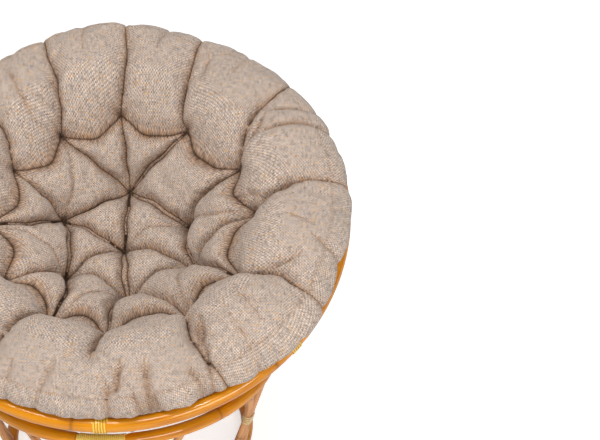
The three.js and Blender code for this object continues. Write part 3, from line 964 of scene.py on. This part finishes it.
def puff_at(turn):
    """How deep the roll's creases are by the turn round its section, 0 outside, 90 on top."""
    size = soft_sizes()
    lobe, shoulder = size.lobe_puff / MM, size.shoulder_puff / MM
    return np.interp(turn, [0, SEAM_TURN, 90], [shoulder, shoulder, lobe])


def over_lobes(turn):
    """The roll's section over the middle of its lobes, and its direction outwards."""
    size = soft_sizes()
    across, up = size.roll_width / MM / 2, size.roll_height / MM / 2
    cosine, sine = np.cos(np.radians(turn)), np.sin(np.radians(turn))
    out = np.stack([cosine / across, sine / up], -1)
    out /= np.linalg.norm(out, axis=-1)[..., None]
    return np.stack([ROLL_MIDDLE + across * cosine, ROLL_BASE + up * sine], -1), out


def roll_section(first, last, count):
    """The roll's section at the bottom of its creases, outside of its top."""
    turn = np.linspace(first, last, count)
    lobes, out = over_lobes(turn)
    return lobes - out * puff_at(turn)[:, None]


def top_profile():
    """The top panel at the depth of its creases: radius and height over the rim, in mm."""
    size = soft_sizes()
    edge = size.outer_tuft_radius / MM
    radii = np.linspace(0, edge, 60)
    seat = np.stack([radii, -170 + 142 * (radii / edge) ** 3.4], 1)
    lobe = size.lobe_puff / MM
    wall = np.array([[331, -7], [349, 13], [370, 30], [398, 86 - lobe], [425, 95 - lobe]])
    return resampled(np.concatenate([seat, wall, roll_section(90, SEAM_TURN, 30)]), 14)


def under_profile():
    """The lower panel from its middle to the seam: over the hoops, over the rim and up."""
    lift = sizes().rim_drop / MM
    bed = 540.4
    angles = np.radians(np.linspace(0, 66, 60))
    bowl = np.stack([bed * np.sin(angles), lift - bed * np.cos(angles)], 1)
    ledge = np.array([[502.0, -8.0], [510.0, 9.0], [518.0, 18.5], [528.0, 21.0]])
    return resampled(np.concatenate([bowl, ledge, roll_section(2, SEAM_TURN, 30)]), 8)


def resampled(points, rounding):
    """Points at every millimetre of the line, with its corners rounded."""
    steps = np.r_[0, np.cumsum(np.linalg.norm(np.diff(points, axis=0), axis=1))]
    even = np.arange(0, steps[-1], 1.0)
    line = np.stack([np.interp(even, steps, points[:, i]) for i in (0, 1)], 1)
    kernel = np.ones(rounding) / rounding
    for _ in range(2):
        ends = np.repeat(line[:1], rounding, 0), np.repeat(line[-1:], rounding, 0)
        padded = np.concatenate([ends[0], line, ends[1]])
        padded[:rounding, 0] = 0
        smooth = np.stack([np.convolve(padded[:, i], kernel, "same") for i in (0, 1)], 1)[rounding:-rounding]
        smooth[0], smooth[-1] = line[0], line[-1]
        line = smooth
    steps = np.r_[0, np.cumsum(np.linalg.norm(np.diff(line, axis=0), axis=1))]
    return steps, line


def between(profile, length):
    steps, line = profile
    radius = np.interp(length, steps, line[:, 0])
    height = np.interp(length, steps, line[:, 1])
    slope = np.gradient(line, steps, axis=0)
    along = np.interp(length, steps, slope[:, 0])
    rise = np.interp(length, steps, slope[:, 1])
    size = np.hypot(along, rise)
    return radius, height, -rise / size, along / size


def smooth_share(value):
    value = np.clip(value, 0, 1)
    return value * value * (3 - 2 * value)


def length_at(profile, radius, first):
    """The length along the profile where it first reaches that radius."""
    steps, line = profile
    start = int(np.searchsorted(steps, first))
    return float(steps[start + int(np.argmax(line[start:, 0] >= radius))])


def flat(length, degrees):
    angle = np.radians(degrees)
    return np.stack([length * np.sin(angle), length * np.cos(angle)], -1)


class TuftedCloth:
    """The cushion's two panels and the lines that gather them."""

    def __init__(self):
        size = soft_sizes()
        self.top = top_profile()
        self.under = under_profile()
        self.seam_length = float(self.top[0][-1])
        self.under_length = float(self.under[0][-1])
        places = {"c": CENTRE_TUFT}
        for k, (radius, degrees) in enumerate(INNER_TUFTS):
            places[f"i{k}"] = (length_at(self.top, radius, 0), degrees)
        for k, (radius, degrees) in enumerate(OUTER_TUFTS):
            places[f"o{k}"] = (length_at(self.top, radius, 0), degrees)
        self.tufts = {name: flat(*place) for name, place in places.items()}
        self.starts = np.array([places[f"o{k}"][0] for k in range(size.outer_tufts)])
        self.lines = []
        self.faint = []
        for a, b, bow, pleat, drawn in SEAT_CREASES:
            self.join(a, b, bow, pleat, self.lines if drawn else self.faint)
        for k in range(size.outer_tufts):
            self.join(f"o{k}", f"o{(k + 1) % size.outer_tufts}", RING_BOWS[k], 0, self.lines)
        self.seat_points = np.concatenate(self.lines)
        ring = np.concatenate(self.lines[-size.outer_tufts :])
        ring_angles = np.degrees(np.arctan2(ring[:, 0], ring[:, 1]))
        order = np.argsort(ring_angles)
        self.ring = (ring_angles[order], np.hypot(ring[:, 0], ring[:, 1])[order])
        self.radials = []
        for k in range(size.outer_tufts):
            share = np.linspace(0, min(1, CREASE_ENDS[k]), 50)
            lengths = self.starts[k] + share * (self.seam_length - self.starts[k])
            self.radials.append(flat(lengths, self.crease_angle(k, share)))
        self.folds = []
        for first, last, low, high, depth, width in ROLL_FOLDS:
            share = np.linspace(low, high, 40)
            start = float(np.mean(self.starts))
            lengths = start + share * (self.seam_length - start)
            degrees = first + (last - first) * (share - low) / (high - low)
            self.folds.append(flat(lengths, degrees))

    def join(self, a, b, bow, pleat, lines):
        """A crease from tuft to tuft, bowed a little, or two with a pleat between."""
        start, end = self.tufts[a], self.tufts[b]
        away = end - start
        side = np.array([-away[1], away[0]]) / np.linalg.norm(away)
        share = np.linspace(0, 1, max(8, int(np.linalg.norm(away) / 3)))[:, None]
        wander = 2.5 * np.sin(2 * TURN * share + start[0]) * np.sin(np.pi * share)
        out = np.sin(np.pi * share)
        for offset in (-pleat / 2, pleat / 2) if pleat else (0,):
            lines.append(start + away * share + side * (out * bow + out**0.5 * offset + wander))

    def crease_angle(self, k, share):
        return np.interp(share, CREASE_SHARES, CREASES[k])

    def side_line(self, k, first):
        """A radial crease carried on over the lower panel, from its seam in to the rim."""
        lengths = np.linspace(self.under_length, first + 2, 20)
        part = (lengths - first) / (self.under_length - first)
        return flat(lengths, self.crease_angle(k, 1 + 0.35 * (1 - part)))

    def from_ring(self, length, degrees):
        """How far over the roll a point lies from the crease round the seat, below 0 inside it."""
        start = np.interp(degrees, *self.ring, period=360)
        return (length - start) / (self.seam_length - start)

    def roll_share(self, length):
        start = float(np.mean(self.starts))
        return (length - start) / (self.seam_length - start)

    def fold_depth(self, degrees, radius, share):
        """How deep the pleats and folds of the roll are, in mm."""
        total = np.zeros(np.shape(degrees))
        for first, last, low, high, depth, width in ROLL_FOLDS:
            part = (share - low) / (high - low)
            line = first + (last - first) * np.clip(part, 0, 1.3)
            away = degrees - line
            away -= 360 * np.round(away / 360)
            ends = smooth_share(part / 0.25) * smooth_share((1 - part) / 0.3 if high < 1 else 1)
            total += depth * ends * np.exp(-np.abs(np.radians(away)) * radius / width)
        return total


def nearest(points, lines):
    """The distance from each point to the nearest point of the lines."""
    best = np.empty(len(points))
    for start in range(0, len(points), 2000):
        part = points[start : start + 2000]
        best[start : start + 2000] = np.sqrt(((part[:, None] - lines[None]) ** 2).sum(2)).min(1)
    return best


def gathers(degrees, share, radius):
    """Soft radial gathers where the roll's cloth is drawn in at the seam, in mm."""
    window = smooth_share(share / 0.5) * smooth_share((1.6 - share) / 0.5)
    front = 0.45 + 0.55 * smooth_share((np.abs(degrees - 360 * np.round(degrees / 360)) - 90) / 60)
    out = np.zeros(len(degrees))
    for i in np.flatnonzero(window > 0.01):
        angle = math.radians(degrees[i])
        reach = radius[i] / 24
        out[i] = noise.noise(Vector((math.sin(angle) * reach, math.cos(angle) * reach, share[i] * 1.5)))
    return 4.2 * out * window * front


def unevenness(degrees, length):
    """The filling is not quite even: broad soft bumps, in mm."""
    x, y = flat(length, degrees).T / 70
    return np.array([3.0 * noise.noise(Vector((a, b, 4.2))) for a, b in zip(x, y)])


def lifted(degrees, radius, height):
    angle = np.radians(degrees)
    drop = sizes().rim_drop / MM
    return np.stack([radius * np.sin(angle), radius * np.cos(angle), height - drop], 1)


def lattice(reach, cell, inner=0.0):
    rise = cell * math.sqrt(0.75)
    columns = np.arange(-int(reach / cell) - 2, int(reach / cell) + 3)
    rows = np.arange(-int(reach / rise) - 2, int(reach / rise) + 3)
    x, y = np.meshgrid(columns * cell, rows * rise, indexing="ij")
    x = x + (rows % 2)[None] * cell / 2
    points = np.stack([x.ravel(), y.ravel()], 1)
    length = np.hypot(points[:, 0], points[:, 1])
    return points[(length < reach - 0.55 * cell) & (length >= inner)]


def even_line(line, step):
    steps = np.r_[0, np.cumsum(np.linalg.norm(np.diff(line, axis=0), axis=1))]
    even = np.linspace(0, steps[-1], max(2, int(steps[-1] / step)) + 1)
    return np.stack([np.interp(even, steps, line[:, i]) for i in (0, 1)], 1)


def panel(reach, points, lines, columns, cell):
    """A flat round panel cut into triangles whose edges lie along the lines, with a row of finer
    triangles on both sides of each line."""
    rim = flat(reach, np.arange(columns) * 360 / columns)
    coordinates = list(rim)
    edges = [(k, (k + 1) % columns) for k in range(columns)]
    drawn = []
    lines = [line[np.hypot(line[:, 0], line[:, 1]) < reach - 1.0] for line in lines]
    lines = [line for line in lines if len(line) > 3]
    for line in lines:
        line = even_line(line, 0.8 * cell)
        first = len(coordinates)
        coordinates += list(line)
        edges += [(first + k, first + k + 1) for k in range(len(line) - 1)]
        drawn.append(line)
    if drawn:
        drawn = np.concatenate(drawn)
        beside = []
        for line in lines:
            line = even_line(line, 0.7 * cell)
            away = np.gradient(line, axis=0)
            away = np.stack([-away[:, 1], away[:, 0]], 1) / np.linalg.norm(away, axis=1)[:, None]
            beside += [line + 3.2 * away, line - 3.2 * away]
        beside = np.concatenate(beside)
        beside = beside[(nearest(beside, drawn) > 2.6) & (np.hypot(beside[:, 0], beside[:, 1]) < reach - 3)]
        drawn = np.concatenate([drawn, beside])
        points = np.concatenate([beside, points[nearest(points, drawn) > 0.55 * cell]])
    last_drawn = len(coordinates)
    coordinates = [Vector(p) for p in coordinates] + [Vector(p) for p in points]
    verts, _, faces, origins, _, _ = delaunay_2d_cdt(coordinates, edges, [], 1, 0.4)
    on_rim = np.zeros(columns, int)
    on_line = np.zeros(len(verts), bool)
    for index, sources in enumerate(origins):
        for source in sources:
            if source < columns:
                on_rim[source] = index
        # a point without a source is where two lines cross
        on_line[index] = not sources or any(columns <= source < last_drawn for source in sources)
    return np.array([tuple(v) for v in verts]), np.array([tuple(f) for f in faces]), on_rim, on_line


def membrane(flats, faces, count, held):
    """The height of a film over the flat triangles, blown up by an even pressure of 1 and held
    down at the held points."""
    sides = [flats[:, (k + 2) % 3] - flats[:, (k + 1) % 3] for k in range(3)]
    area = np.abs(sides[0][:, 0] * sides[1][:, 1] - sides[0][:, 1] * sides[1][:, 0]) / 2
    area = np.maximum(area, 0.05)
    load = np.bincount(faces.ravel(), np.repeat(area / 3, 3), count)
    starts, ends, weights = [], [], []
    for k in range(3):
        a, b = sides[(k + 1) % 3], sides[(k + 2) % 3]
        starts.append(faces[:, (k + 1) % 3])
        ends.append(faces[:, (k + 2) % 3])
        weights.append(np.clip(-(a * b).sum(1) / (4 * area), 0.02, 8.0))
    start, end, weight = map(np.concatenate, (starts, ends, weights))
    free = ~held

    def pull(values):
        flow = weight * (values[start] - values[end])
        return (np.bincount(start, flow, count) - np.bincount(end, flow, count)) * free

    height = np.zeros(count)
    rest = load * free
    step = rest.copy()
    size = rest @ rest
    for _ in range(400):
        pulled = pull(step)
        share = size / max(step @ pulled, 1e-12)
        height += share * step
        rest = rest - share * pulled
        new_size = rest @ rest
        if new_size < 1e-8 * (load @ load):
            break
        step = rest + new_size / size * step
        size = new_size
    return np.maximum(height, 0)


class CushionShape:
    """The cushion's cloth: its flat panels joined at the seam, and where each point lies."""

    def __init__(self):
        self.cloth = TuftedCloth()
        self.cut_panels()
        self.hold_down()
        self.fill()
        self.gather()
        self.draw_in()
        self.points = lifted(self.degrees, self.moved[:, 0], self.moved[:, 1])

    def cut_panels(self):
        """Cuts both panels into triangles and joins them at the seam."""
        cloth = self.cloth
        cell = soft_sizes().cell / MM
        self.bedded_length = length_at(cloth.under, BED_EDGE, 0)
        over_seam = [k for k, end in enumerate(CREASE_ENDS) if end > 1]
        side_lines = [cloth.side_line(k, self.bedded_length) for k in over_seam]
        self.side_lines = np.concatenate(side_lines)
        self.top_flat, top_faces, top_rim, top_line = panel(
            cloth.seam_length,
            lattice(cloth.seam_length, cell),
            cloth.lines + cloth.radials + cloth.faint + cloth.folds,
            SEAM_POINTS,
            cell,
        )
        # the cells are coarser where the bowl hides the cloth
        hidden = length_at(cloth.under, HIDDEN_EDGE, 0)
        grid = np.concatenate([lattice(hidden, 2.4 * cell), lattice(cloth.under_length, cell, inner=hidden)])
        self.under_flat, under_faces, under_rim, under_line = panel(
            cloth.under_length, grid, side_lines, SEAM_POINTS, cell
        )
        under_faces = under_faces[:, ::-1]
        shift = len(self.top_flat)
        target = np.arange(shift + len(self.under_flat))
        target[shift + under_rim] = top_rim
        self.kept = np.flatnonzero(target == np.arange(len(target)))
        renumber = np.zeros(len(target), int)
        renumber[self.kept] = np.arange(len(self.kept))
        renumber = renumber[target]
        self.faces = np.concatenate([renumber[top_faces], renumber[under_faces + shift]])
        self.flats = np.concatenate([self.top_flat[top_faces], self.under_flat[under_faces]])
        self.on_line = np.r_[top_line, under_line][self.kept]
        self.on_under = (np.arange(len(target)) >= shift)[self.kept]
        places = zip(place_on(cloth.top, self.top_flat, 1), place_on(cloth.under, self.under_flat, -1))
        joined = [np.concatenate(pair)[self.kept] for pair in places]
        self.length, self.degrees, self.radius, self.base, self.outwards = joined

    def to_top(self, lines):
        """The distance of each point of the top panel to the lines. The lower panel lies far off."""
        return np.r_[nearest(self.top_flat, lines), np.full(len(self.under_flat), FAR)][self.kept]

    def hold_down(self):
        """Finds the points that are sewn down or lie on the bowl, and the film over the rest."""
        cloth = self.cloth
        seat_lines = np.concatenate([cloth.seat_points] + cloth.radials)
        to_line = np.r_[nearest(self.top_flat, seat_lines), nearest(self.under_flat, self.side_lines)]
        self.to_line = to_line[self.kept]
        self.bedded = self.on_under & (self.length < self.bedded_length)
        self.creased = (self.to_line < 2.4) & self.on_line & ~self.bedded
        held = self.creased | self.bedded
        self.film = np.sqrt(2 * membrane(self.flats, self.faces, len(self.kept), held))

    def fill(self):
        """Raises the seat's pillows and the roll's lobes over their creases."""
        cloth, size = self.cloth, soft_sizes()
        past_rim = (self.length - self.bedded_length) / (cloth.under_length - self.bedded_length)
        self.share = np.where(
            self.on_under, 1 + 0.35 * (1 - np.clip(past_rim, 0, 1)), cloth.roll_share(self.length)
        )
        self.over = np.where(self.on_under, self.share, cloth.from_ring(self.length, self.degrees))
        fullness = np.minimum(self.film / FULL_FILM, 1.15)
        seat_top = 1.6 * size.seat_puff / MM
        seat_puff = seat_top * np.tanh(size.seat_fullness * self.film / seat_top)
        fullness = fullness * size.start_fill
        seat_puff = seat_puff * size.start_fill
        self.to_tuft = self.to_top(np.array(list(cloth.tufts.values())))
        rise = size.tuft_depth / MM * (1 - np.exp(-((self.to_tuft / TUFT_WIDTH) ** 2)))
        rise = np.where(self.on_under, 0, rise * (1 - smooth_share(self.over / 0.3)))
        base = self.base + self.outwards * rise[:, None]
        lobes, _ = over_lobes(np.interp(self.over, [0, 0.45, 1], [198, 108, SEAM_TURN]))
        on_lobe = np.where(self.on_under[:, None], self.outwards * puff_at(np.zeros(1)), lobes - base)
        on_roll = (self.over > 0)[:, None]
        self.moved = base + np.where(on_roll, on_lobe * fullness[:, None], self.outwards * seat_puff[:, None])

    def gather(self):
        """Draws in the pleats, folds and tufts, and lets the roll sit as unevenly as it does."""
        cloth = self.cloth
        self.to_faint = self.to_top(np.concatenate(cloth.faint))
        self.to_fold = self.to_top(np.concatenate(cloth.folds))
        self.folds = cloth.fold_depth(self.degrees, self.radius, self.share)
        out = gathers(self.degrees, self.share, self.radius) - self.folds * smooth_share(self.over / 0.12)
        out -= 9 * np.exp(-self.to_faint / 9)
        out += unevenness(self.degrees, self.length)
        out = np.where(self.bedded, 0, out)
        lift = np.interp(self.degrees, *zip(*LIFTS)) * smooth_share(self.over * 2.2) * ~self.bedded
        lift *= 1 - 0.7 * smooth_share((self.over - 1) * 4)
        hang = np.interp(self.degrees, *zip(*HANGS)) * ~self.bedded
        hang *= np.exp(-(((self.moved[:, 1] - HANG_HEIGHT) / HANG_REACH) ** 2))
        hang *= smooth_share((self.moved[:, 0] - 470) / 40)
        self.moved += np.stack([0.65 * lift + hang, lift], 1)
        tufts = ((0.1, 0),) + INNER_TUFTS + OUTER_TUFTS
        tufts = np.array([flat(length_at(cloth.under, radius, 0), degrees) for radius, degrees in tufts])
        to_tuft = np.r_[np.full(len(self.top_flat), FAR), nearest(self.under_flat, tufts)][self.kept]
        out = out - PRINT_DEPTH * np.exp(-((to_tuft / PRINT_WIDTH) ** 2)) * self.bedded
        self.moved += self.outwards * out[:, None]

    def draw_in(self):
        """How deep each point is drawn in by its seam, creases and folds, in mm, and how much its colour is
        darkened there, from 0 to 1: painted shade in the creases, folds and tufts, and a little darker along
        the seam."""
        cloth, seen = self.cloth, ~self.bedded
        to_seam = np.where(self.on_under, cloth.under_length, cloth.seam_length) - self.length
        groove = 3.0 * np.exp(-self.to_line / 3.5) + 2.5 * np.exp(-((self.to_fold / 9) ** 2))
        self.groove = (groove + 2.2 * np.exp(-self.to_faint / 4) + 1.3 * np.exp(-to_seam / 3)) * seen
        # painted shade, from the crease lines, the faint creases and folds, the deep folds, a halo beside the
        # creases and the tufts; the last entry makes a line along the seam a little darker
        shades = (
            np.where(self.creased, 1.0, np.exp(-self.to_line / 2.0)) * seen,
            0.5 * np.exp(-np.minimum(self.to_faint, 1.6 * self.to_fold) / 2.5) * ~self.on_under,
            0.62 * np.clip(self.folds / 12, 0, 1) ** 1.5 * seen,
            0.42 * np.exp(-self.to_line / 9) * seen,
            0.95 * np.exp(-((self.to_tuft / 19) ** 2)),
            0.2 * np.exp(-to_seam / 1.5),
        )
        self.painted_crease_shade = np.max(shades, 0)


def place_on(profile, flats, side):
    """Where the profile puts a panel's points: their length, angle, radius, place and direction."""
    length = np.hypot(flats[:, 0], flats[:, 1])
    radius, height, out_r, out_h = between(profile, length)
    degrees = np.degrees(np.arctan2(flats[:, 0], flats[:, 1]))
    return length, degrees, radius, np.stack([radius, height], 1), side * np.stack([out_r, out_h], 1)


def build_cushion_mesh(shape):
    """The shape as a mesh, with a UV map in metres of flat cloth."""
    mesh = bpy.data.meshes.new("cushion_cover")
    mesh.from_pydata((shape.points * MM).tolist(), [], shape.faces.tolist())
    layer = mesh.uv_layers.new(name="cloth")
    layer.data.foreach_set("uv", (shape.flats.reshape(-1, 2) * MM).astype(np.float32).ravel())
    # the painted shade of the creases, folds and tufts goes to the material as a point attribute
    painted_crease_shade = mesh.attributes.new("painted_crease_shade", "FLOAT", "POINT")
    painted_crease_shade.data.foreach_set("value", shape.painted_crease_shade.astype(np.float32))
    mesh.update()
    cushion = bpy.data.objects.new("cushion_cover", mesh)
    bpy.context.collection.objects.link(cushion)
    only(cushion)
    bpy.ops.object.mode_set(mode="EDIT")
    bpy.ops.mesh.select_all(action="SELECT")
    bpy.ops.mesh.normals_make_consistent(inside=False)
    bpy.ops.object.mode_set(mode="OBJECT")
    bpy.ops.object.shade_smooth()
    return cushion


def inflate(piece, held):
    """Blows the piece up as cloth that is held at its creases, and keeps the result."""
    size = soft_sizes()
    count = len(piece.data.vertices)
    before = np.empty(3 * count)
    piece.data.vertices.foreach_get("co", before)
    group = piece.vertex_groups.new(name="held")
    group.add([int(i) for i in np.flatnonzero(held)], 1.0, "REPLACE")
    only(piece)
    cloth = piece.modifiers.new("filling", "CLOTH")
    settings = cloth.settings
    settings.quality = 5
    settings.mass = 0.3
    settings.tension_stiffness = settings.compression_stiffness = 15
    settings.shear_stiffness = 5
    settings.bending_stiffness = 0.5
    settings.use_pressure = True
    settings.uniform_pressure_force = size.pressure
    settings.shrink_min = -0.035
    settings.vertex_group_mass = group.name
    settings.pin_stiffness = 1
    settings.effector_weights.gravity = 0
    cloth.collision_settings.use_collision = False
    cloth.point_cache.frame_end = 20
    scene = bpy.context.scene
    for step in range(1, 21):
        scene.frame_set(step)
    bpy.ops.object.modifier_apply(modifier=cloth.name)
    scene.frame_set(1)
    piece.vertex_groups.clear()
    after = np.empty(3 * count)
    piece.data.vertices.foreach_get("co", after)
    before, after = before.reshape(-1, 3), after.reshape(-1, 3)
    step = after - before
    far = np.linalg.norm(step, axis=1)
    if not np.isfinite(far).all():
        raise RuntimeError("the cushion's simulation failed")
    kept = size.reach * np.tanh(far / size.reach) / np.maximum(far, 1e-9)
    piece.data.vertices.foreach_set("co", (before + step * kept[:, None]).ravel())
    piece.data.update()
    print("the filling moved points by up to", round(float(far.max()) / MM, 1), "mm")


def sew(piece, depths):
    """Draws the seams, creases and folds into the piece, to those depths in mm."""
    count = len(piece.data.vertices)
    places, normals = np.empty(3 * count), np.empty(3 * count)
    piece.data.vertices.foreach_get("co", places)
    piece.data.vertices.foreach_get("normal", normals)
    places -= normals * np.repeat(depths * MM, 3)
    piece.data.vertices.foreach_set("co", places)
    piece.data.update()


class PAPASAN_OT_cushion(bpy.types.Operator):
    """Adds the tufted cushion, gathered at its tufts and puffed by simulation"""

    bl_idname = "papasan.cushion"
    bl_label = "Cushion"

    def execute(self, context):
        shape = CushionShape()
        cushion = build_cushion_mesh(shape)
        inflate(cushion, shape.creased | shape.bedded)
        sew(cushion, shape.groove)
        settle(cushion, BOWL)
        finish = finish_named("heather_plain_weave")
        dress(cushion, "cushion_cover", "cushion", "cushion", finish)
        return {"FINISHED"}


# The stage


def add_lamp(name, wide, deep, energy, colour, place, target):
    deselect_all()
    bpy.ops.object.light_add(type="AREA", location=place)
    lamp = bpy.context.object
    lamp.name = name
    lamp.data.shape = "RECTANGLE"
    lamp.data.size = wide
    lamp.data.size_y = deep
    lamp.data.energy = energy
    lamp.data.color = colour
    lamp.rotation_mode = "QUATERNION"
    lamp.rotation_quaternion = (Vector(place) - Vector(target)).to_track_quat("Z", "Y")
    return lamp


class PAPASAN_OT_stage(bpy.types.Operator):
    """Adds the pale floor, the soft lamps, the white surroundings and the camera"""

    bl_idname = "papasan.stage"
    bl_label = "Stage"

    def execute(self, context):
        deselect_all()
        bpy.ops.mesh.primitive_plane_add(size=40)
        floor = bpy.context.object
        floor.name = "floor"
        material, tree, shader = new_material("pale_floor")
        shader.inputs["Base Color"].default_value = (0.85, 0.85, 0.85, 1)
        shader.inputs["Roughness"].default_value = 0.9
        shader.inputs["Specular IOR Level"].default_value = 0.1
        # the floor looks white to the camera, and a little so in the lacquer
        shader.inputs["Emission Color"].default_value = (1, 1, 1, 1)
        rays = add_node(tree, "ShaderNodeLightPath").outputs
        seen = add_node(tree, "ShaderNodeMath", {0: rays["Is Camera Ray"], 1: 0.62}, operation="MULTIPLY")
        inputs = {0: rays["Is Glossy Ray"], 1: 0.15, 2: seen}
        seen = add_node(tree, "ShaderNodeMath", inputs, operation="MULTIPLY_ADD")
        tree.links.new(seen.outputs[0], shader.inputs["Emission Strength"])
        floor.data.materials.append(material)
        world = bpy.data.worlds.new("studio")
        context.scene.world = world
        world.use_nodes = True
        tree = world.node_tree
        tree.nodes.clear()
        # white to the camera, 0.4 of that as light, and 0.25 in the lacquer
        rays = add_node(tree, "ShaderNodeLightPath").outputs
        inputs = {0: rays["Is Camera Ray"], 1: rays["Is Transmission Ray"]}
        clear = add_node(tree, "ShaderNodeMath", inputs, operation="MAXIMUM")
        level = add_node(tree, "ShaderNodeMath", {0: clear, 1: 0.6, 2: 0.4}, operation="MULTIPLY_ADD")
        inputs = {0: rays["Is Glossy Ray"], 1: -0.15, 2: level}
        level = add_node(tree, "ShaderNodeMath", inputs, operation="MULTIPLY_ADD")
        sky = add_node(tree, "ShaderNodeBackground", {"Color": (1, 1, 1, 1), "Strength": level})
        add_node(tree, "ShaderNodeOutputWorld", {"Surface": sky})
        middle = Vector((0, -0.05, 0.45))
        add_lamp("key", 2.4, 0.14, 52, (1, 0.98, 0.95), (-0.5, -1.6, 3.2), middle)
        add_lamp("fill", 1.6, 0.9, 35, (1, 0.99, 0.97), (1.5, -2.8, 1.4), middle)
        add_lamp("back", 1.4, 1.4, 12, (1, 1, 1), (0.8, 2.2, 2.4), middle)
        self.add_camera(context)
        return {"FINISHED"}

    def add_camera(self, context):
        """The camera that fits the photograph: 31 degrees up and 3.4 m from the rim's middle."""
        lift, turn_by = math.radians(31), math.radians(2.7)
        right = Vector((math.cos(turn_by), math.sin(turn_by), 0))
        level = Vector((math.sin(turn_by), -math.cos(turn_by), 0))
        toward = math.cos(lift) * level + Vector((0, 0, math.sin(lift)))
        up = toward.cross(right)
        rim_middle = BOWL @ Vector((0, 0, -sizes().rim_drop))
        aside, below, away = 0.4291, 0.0067, 3.3636
        place = rim_middle + aside * right - below * up + away * toward
        deselect_all()
        bpy.ops.object.camera_add(location=place)
        camera = bpy.context.object
        camera.name = "camera"
        camera.data.lens = 84
        camera.data.sensor_width = 36
        camera.rotation_mode = "QUATERNION"
        camera.rotation_quaternion = Matrix((right, up, toward)).transposed().to_quaternion()
        context.scene.camera = camera


class PAPASAN_PT_panel(bpy.types.Panel):
    """Lists the chair's pieces"""

    bl_idname = "PAPASAN_PT_panel"
    bl_label = "Papasan chair"
    bl_space_type = "VIEW_3D"
    bl_region_type = "UI"
    bl_category = "Papasan"

    def draw(self, context):
        for operator in OPERATORS:
            self.layout.operator(operator.bl_idname)
        for group in ("papasan_frame", "papasan_cushion", "papasan_colours"):
            settings = getattr(context.scene, group)
            column = self.layout.box().column()
            for name in settings.__annotations__:
                column.prop(settings, name)


OPERATORS = (
    PAPASAN_OT_rim,
    PAPASAN_OT_ribs,
    PAPASAN_OT_hoops,
    PAPASAN_OT_lashings,
    PAPASAN_OT_rings,
    PAPASAN_OT_ring_wrap,
    PAPASAN_OT_legs,
    PAPASAN_OT_leg_bindings,
    PAPASAN_OT_cushion,
    PAPASAN_OT_stage,
)
GROUPS = (PapasanFrameSizes, PapasanCushionSizes, PapasanColours)


def register():
    for kind in GROUPS + OPERATORS + (PAPASAN_PT_panel,):
        bpy.utils.register_class(kind)
    bpy.types.Scene.papasan_frame = PointerProperty(type=PapasanFrameSizes)
    bpy.types.Scene.papasan_cushion = PointerProperty(type=PapasanCushionSizes)
    bpy.types.Scene.papasan_colours = PointerProperty(type=PapasanColours)


def unregister():
    del bpy.types.Scene.papasan_colours
    del bpy.types.Scene.papasan_cushion
    del bpy.types.Scene.papasan_frame
    for kind in reversed(GROUPS + OPERATORS + (PAPASAN_PT_panel,)):
        bpy.utils.unregister_class(kind)


def main():
    register()
    bpy.context.scene.view_settings.view_transform = "Standard"
    bpy.ops.papasan.stage()
    bpy.ops.papasan.rim()
    bpy.ops.papasan.ribs()
    bpy.ops.papasan.hoops()
    bpy.ops.papasan.lashings()
    bpy.ops.papasan.rings()
    bpy.ops.papasan.ring_wrap()
    bpy.ops.papasan.legs()
    bpy.ops.papasan.leg_bindings()
    bpy.ops.papasan.cushion()


if __name__ == "__main__":
    main()
